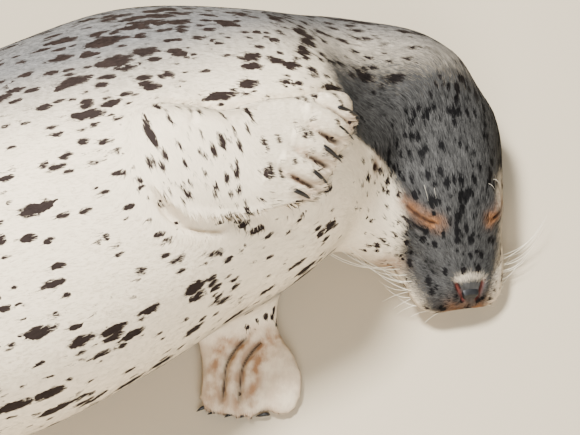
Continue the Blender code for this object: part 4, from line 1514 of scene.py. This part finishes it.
class SealStageSettings(bpy.types.PropertyGroup):
    floor_colour: colour("Floor", "#c0b299", "Colour of the floor")
    camera_height: bpy.props.FloatProperty(
        name="Camera elevation", description="Angle of the camera over the floor",
        default=math.radians(60), subtype="ANGLE",
    )
    camera_distance: bpy.props.FloatProperty(
        name="Camera distance", description="From the camera to the point it looks at",
        default=3.5, unit="LENGTH",
    )
    view_width: bpy.props.FloatProperty(
        name="View width", description="Width of the view at the point looked at",
        default=0.638, unit="LENGTH",
    )
    key: bpy.props.FloatProperty(
        name="Key light", description="Power of the large light over the seal", default=230.0, unit="POWER",
    )
    fill: bpy.props.FloatProperty(
        name="Fill light", description="Power of the light from the other side", default=85.0, unit="POWER",
    )


AIM_FROM_NOSE = (-199.0, 65.4, 56.5)  # what the camera looks at
LIGHTS = {"key": ((-0.7, 0.6, 2.5), 0.55), "fill": ((0.3, -2.0, 1.6), 1.4)}  # place from the aim, size
ROOM_LIGHT = 0.20
ROOM_COLOUR = "#f2eee6"
FLOOR_REACH = 6.0  # in metres


class SEAL_OT_stage(bpy.types.Operator):
    """Adds the floor, the lights and the camera"""

    bl_idname = "seal.stage"
    bl_label = "Stage"

    def execute(self, context):
        settings = context.scene.seal_stage
        form = bmesh.new()
        bmesh.ops.create_grid(form, x_segments=1, y_segments=1, size=FLOOR_REACH)
        mesh = mesh_of(form, "floor")
        paint, shader = new_material("matt painted floor", 0.9)
        shader.inputs["Base Color"].default_value = settings.floor_colour
        mesh.materials.append(paint)
        new_piece("floor", mesh)
        aim = Vector((NOSE + AIM_FROM_NOSE) * MM)
        for name, (place, size) in LIGHTS.items():
            light = bpy.data.lights.new(name, "AREA")
            light.size = size
            light.energy = getattr(settings, name)
            lamp = new_piece(name, light)
            lamp.location = aim + Vector(place)
            lamp.rotation_euler = (aim - lamp.location).to_track_quat("-Z", "Y").to_euler()
        world = bpy.data.worlds.new("soft room")
        world.use_nodes = True
        background = world.node_tree.nodes["Background"]
        background.inputs["Color"].default_value = linear(ROOM_COLOUR)
        background.inputs["Strength"].default_value = ROOM_LIGHT
        context.scene.world = world
        camera = bpy.data.cameras.new("camera")
        camera.lens = camera.sensor_width * settings.camera_distance / settings.view_width
        camera.clip_end = 20
        eye = new_piece("camera", camera)
        height = settings.camera_height
        back = Vector((0, -math.cos(height), math.sin(height)))
        eye.location = aim + back * settings.camera_distance
        eye.rotation_euler = (-back).to_track_quat("-Z", "Y").to_euler()
        context.scene.camera = eye
        return {"FINISHED"}


class SEAL_PT_panel(bpy.types.Panel):
    """Lists the pieces of the seal"""

    bl_idname = "SEAL_PT_panel"
    bl_label = "Harbor Seal"
    bl_space_type = "VIEW_3D"
    bl_region_type = "UI"
    bl_category = "Seal"

    def draw(self, context):
        for operator in OPERATORS:
            self.layout.operator(operator.bl_idname)
        for group in SETTINGS:
            settings = getattr(context.scene, group)
            for name in settings.bl_rna.properties.keys():
                if name not in ("rna_type", "name"):
                    self.layout.prop(settings, name)


OPERATORS = (SEAL_OT_skin, SEAL_OT_coat, SEAL_OT_nose, SEAL_OT_claws, SEAL_OT_whiskers, SEAL_OT_stage)
SETTINGS = {
    "seal_skin": SealSkinSettings,
    "seal_colours": SealColourSettings,
    "seal_stage": SealStageSettings,
}


def register():
    for kind in (*SETTINGS.values(), *OPERATORS, SEAL_PT_panel):
        bpy.utils.register_class(kind)
    for name, kind in SETTINGS.items():
        setattr(bpy.types.Scene, name, bpy.props.PointerProperty(type=kind))


def unregister():
    for name in SETTINGS:
        delattr(bpy.types.Scene, name)
    for kind in reversed((*SETTINGS.values(), *OPERATORS, SEAL_PT_panel)):
        bpy.utils.unregister_class(kind)


def main():
    register()
    bpy.ops.seal.skin()
    bpy.ops.seal.coat()
    bpy.ops.seal.nose()
    bpy.ops.seal.claws()
    bpy.ops.seal.whiskers()
    bpy.ops.seal.stage()


if __name__ == "__main__":
    main()
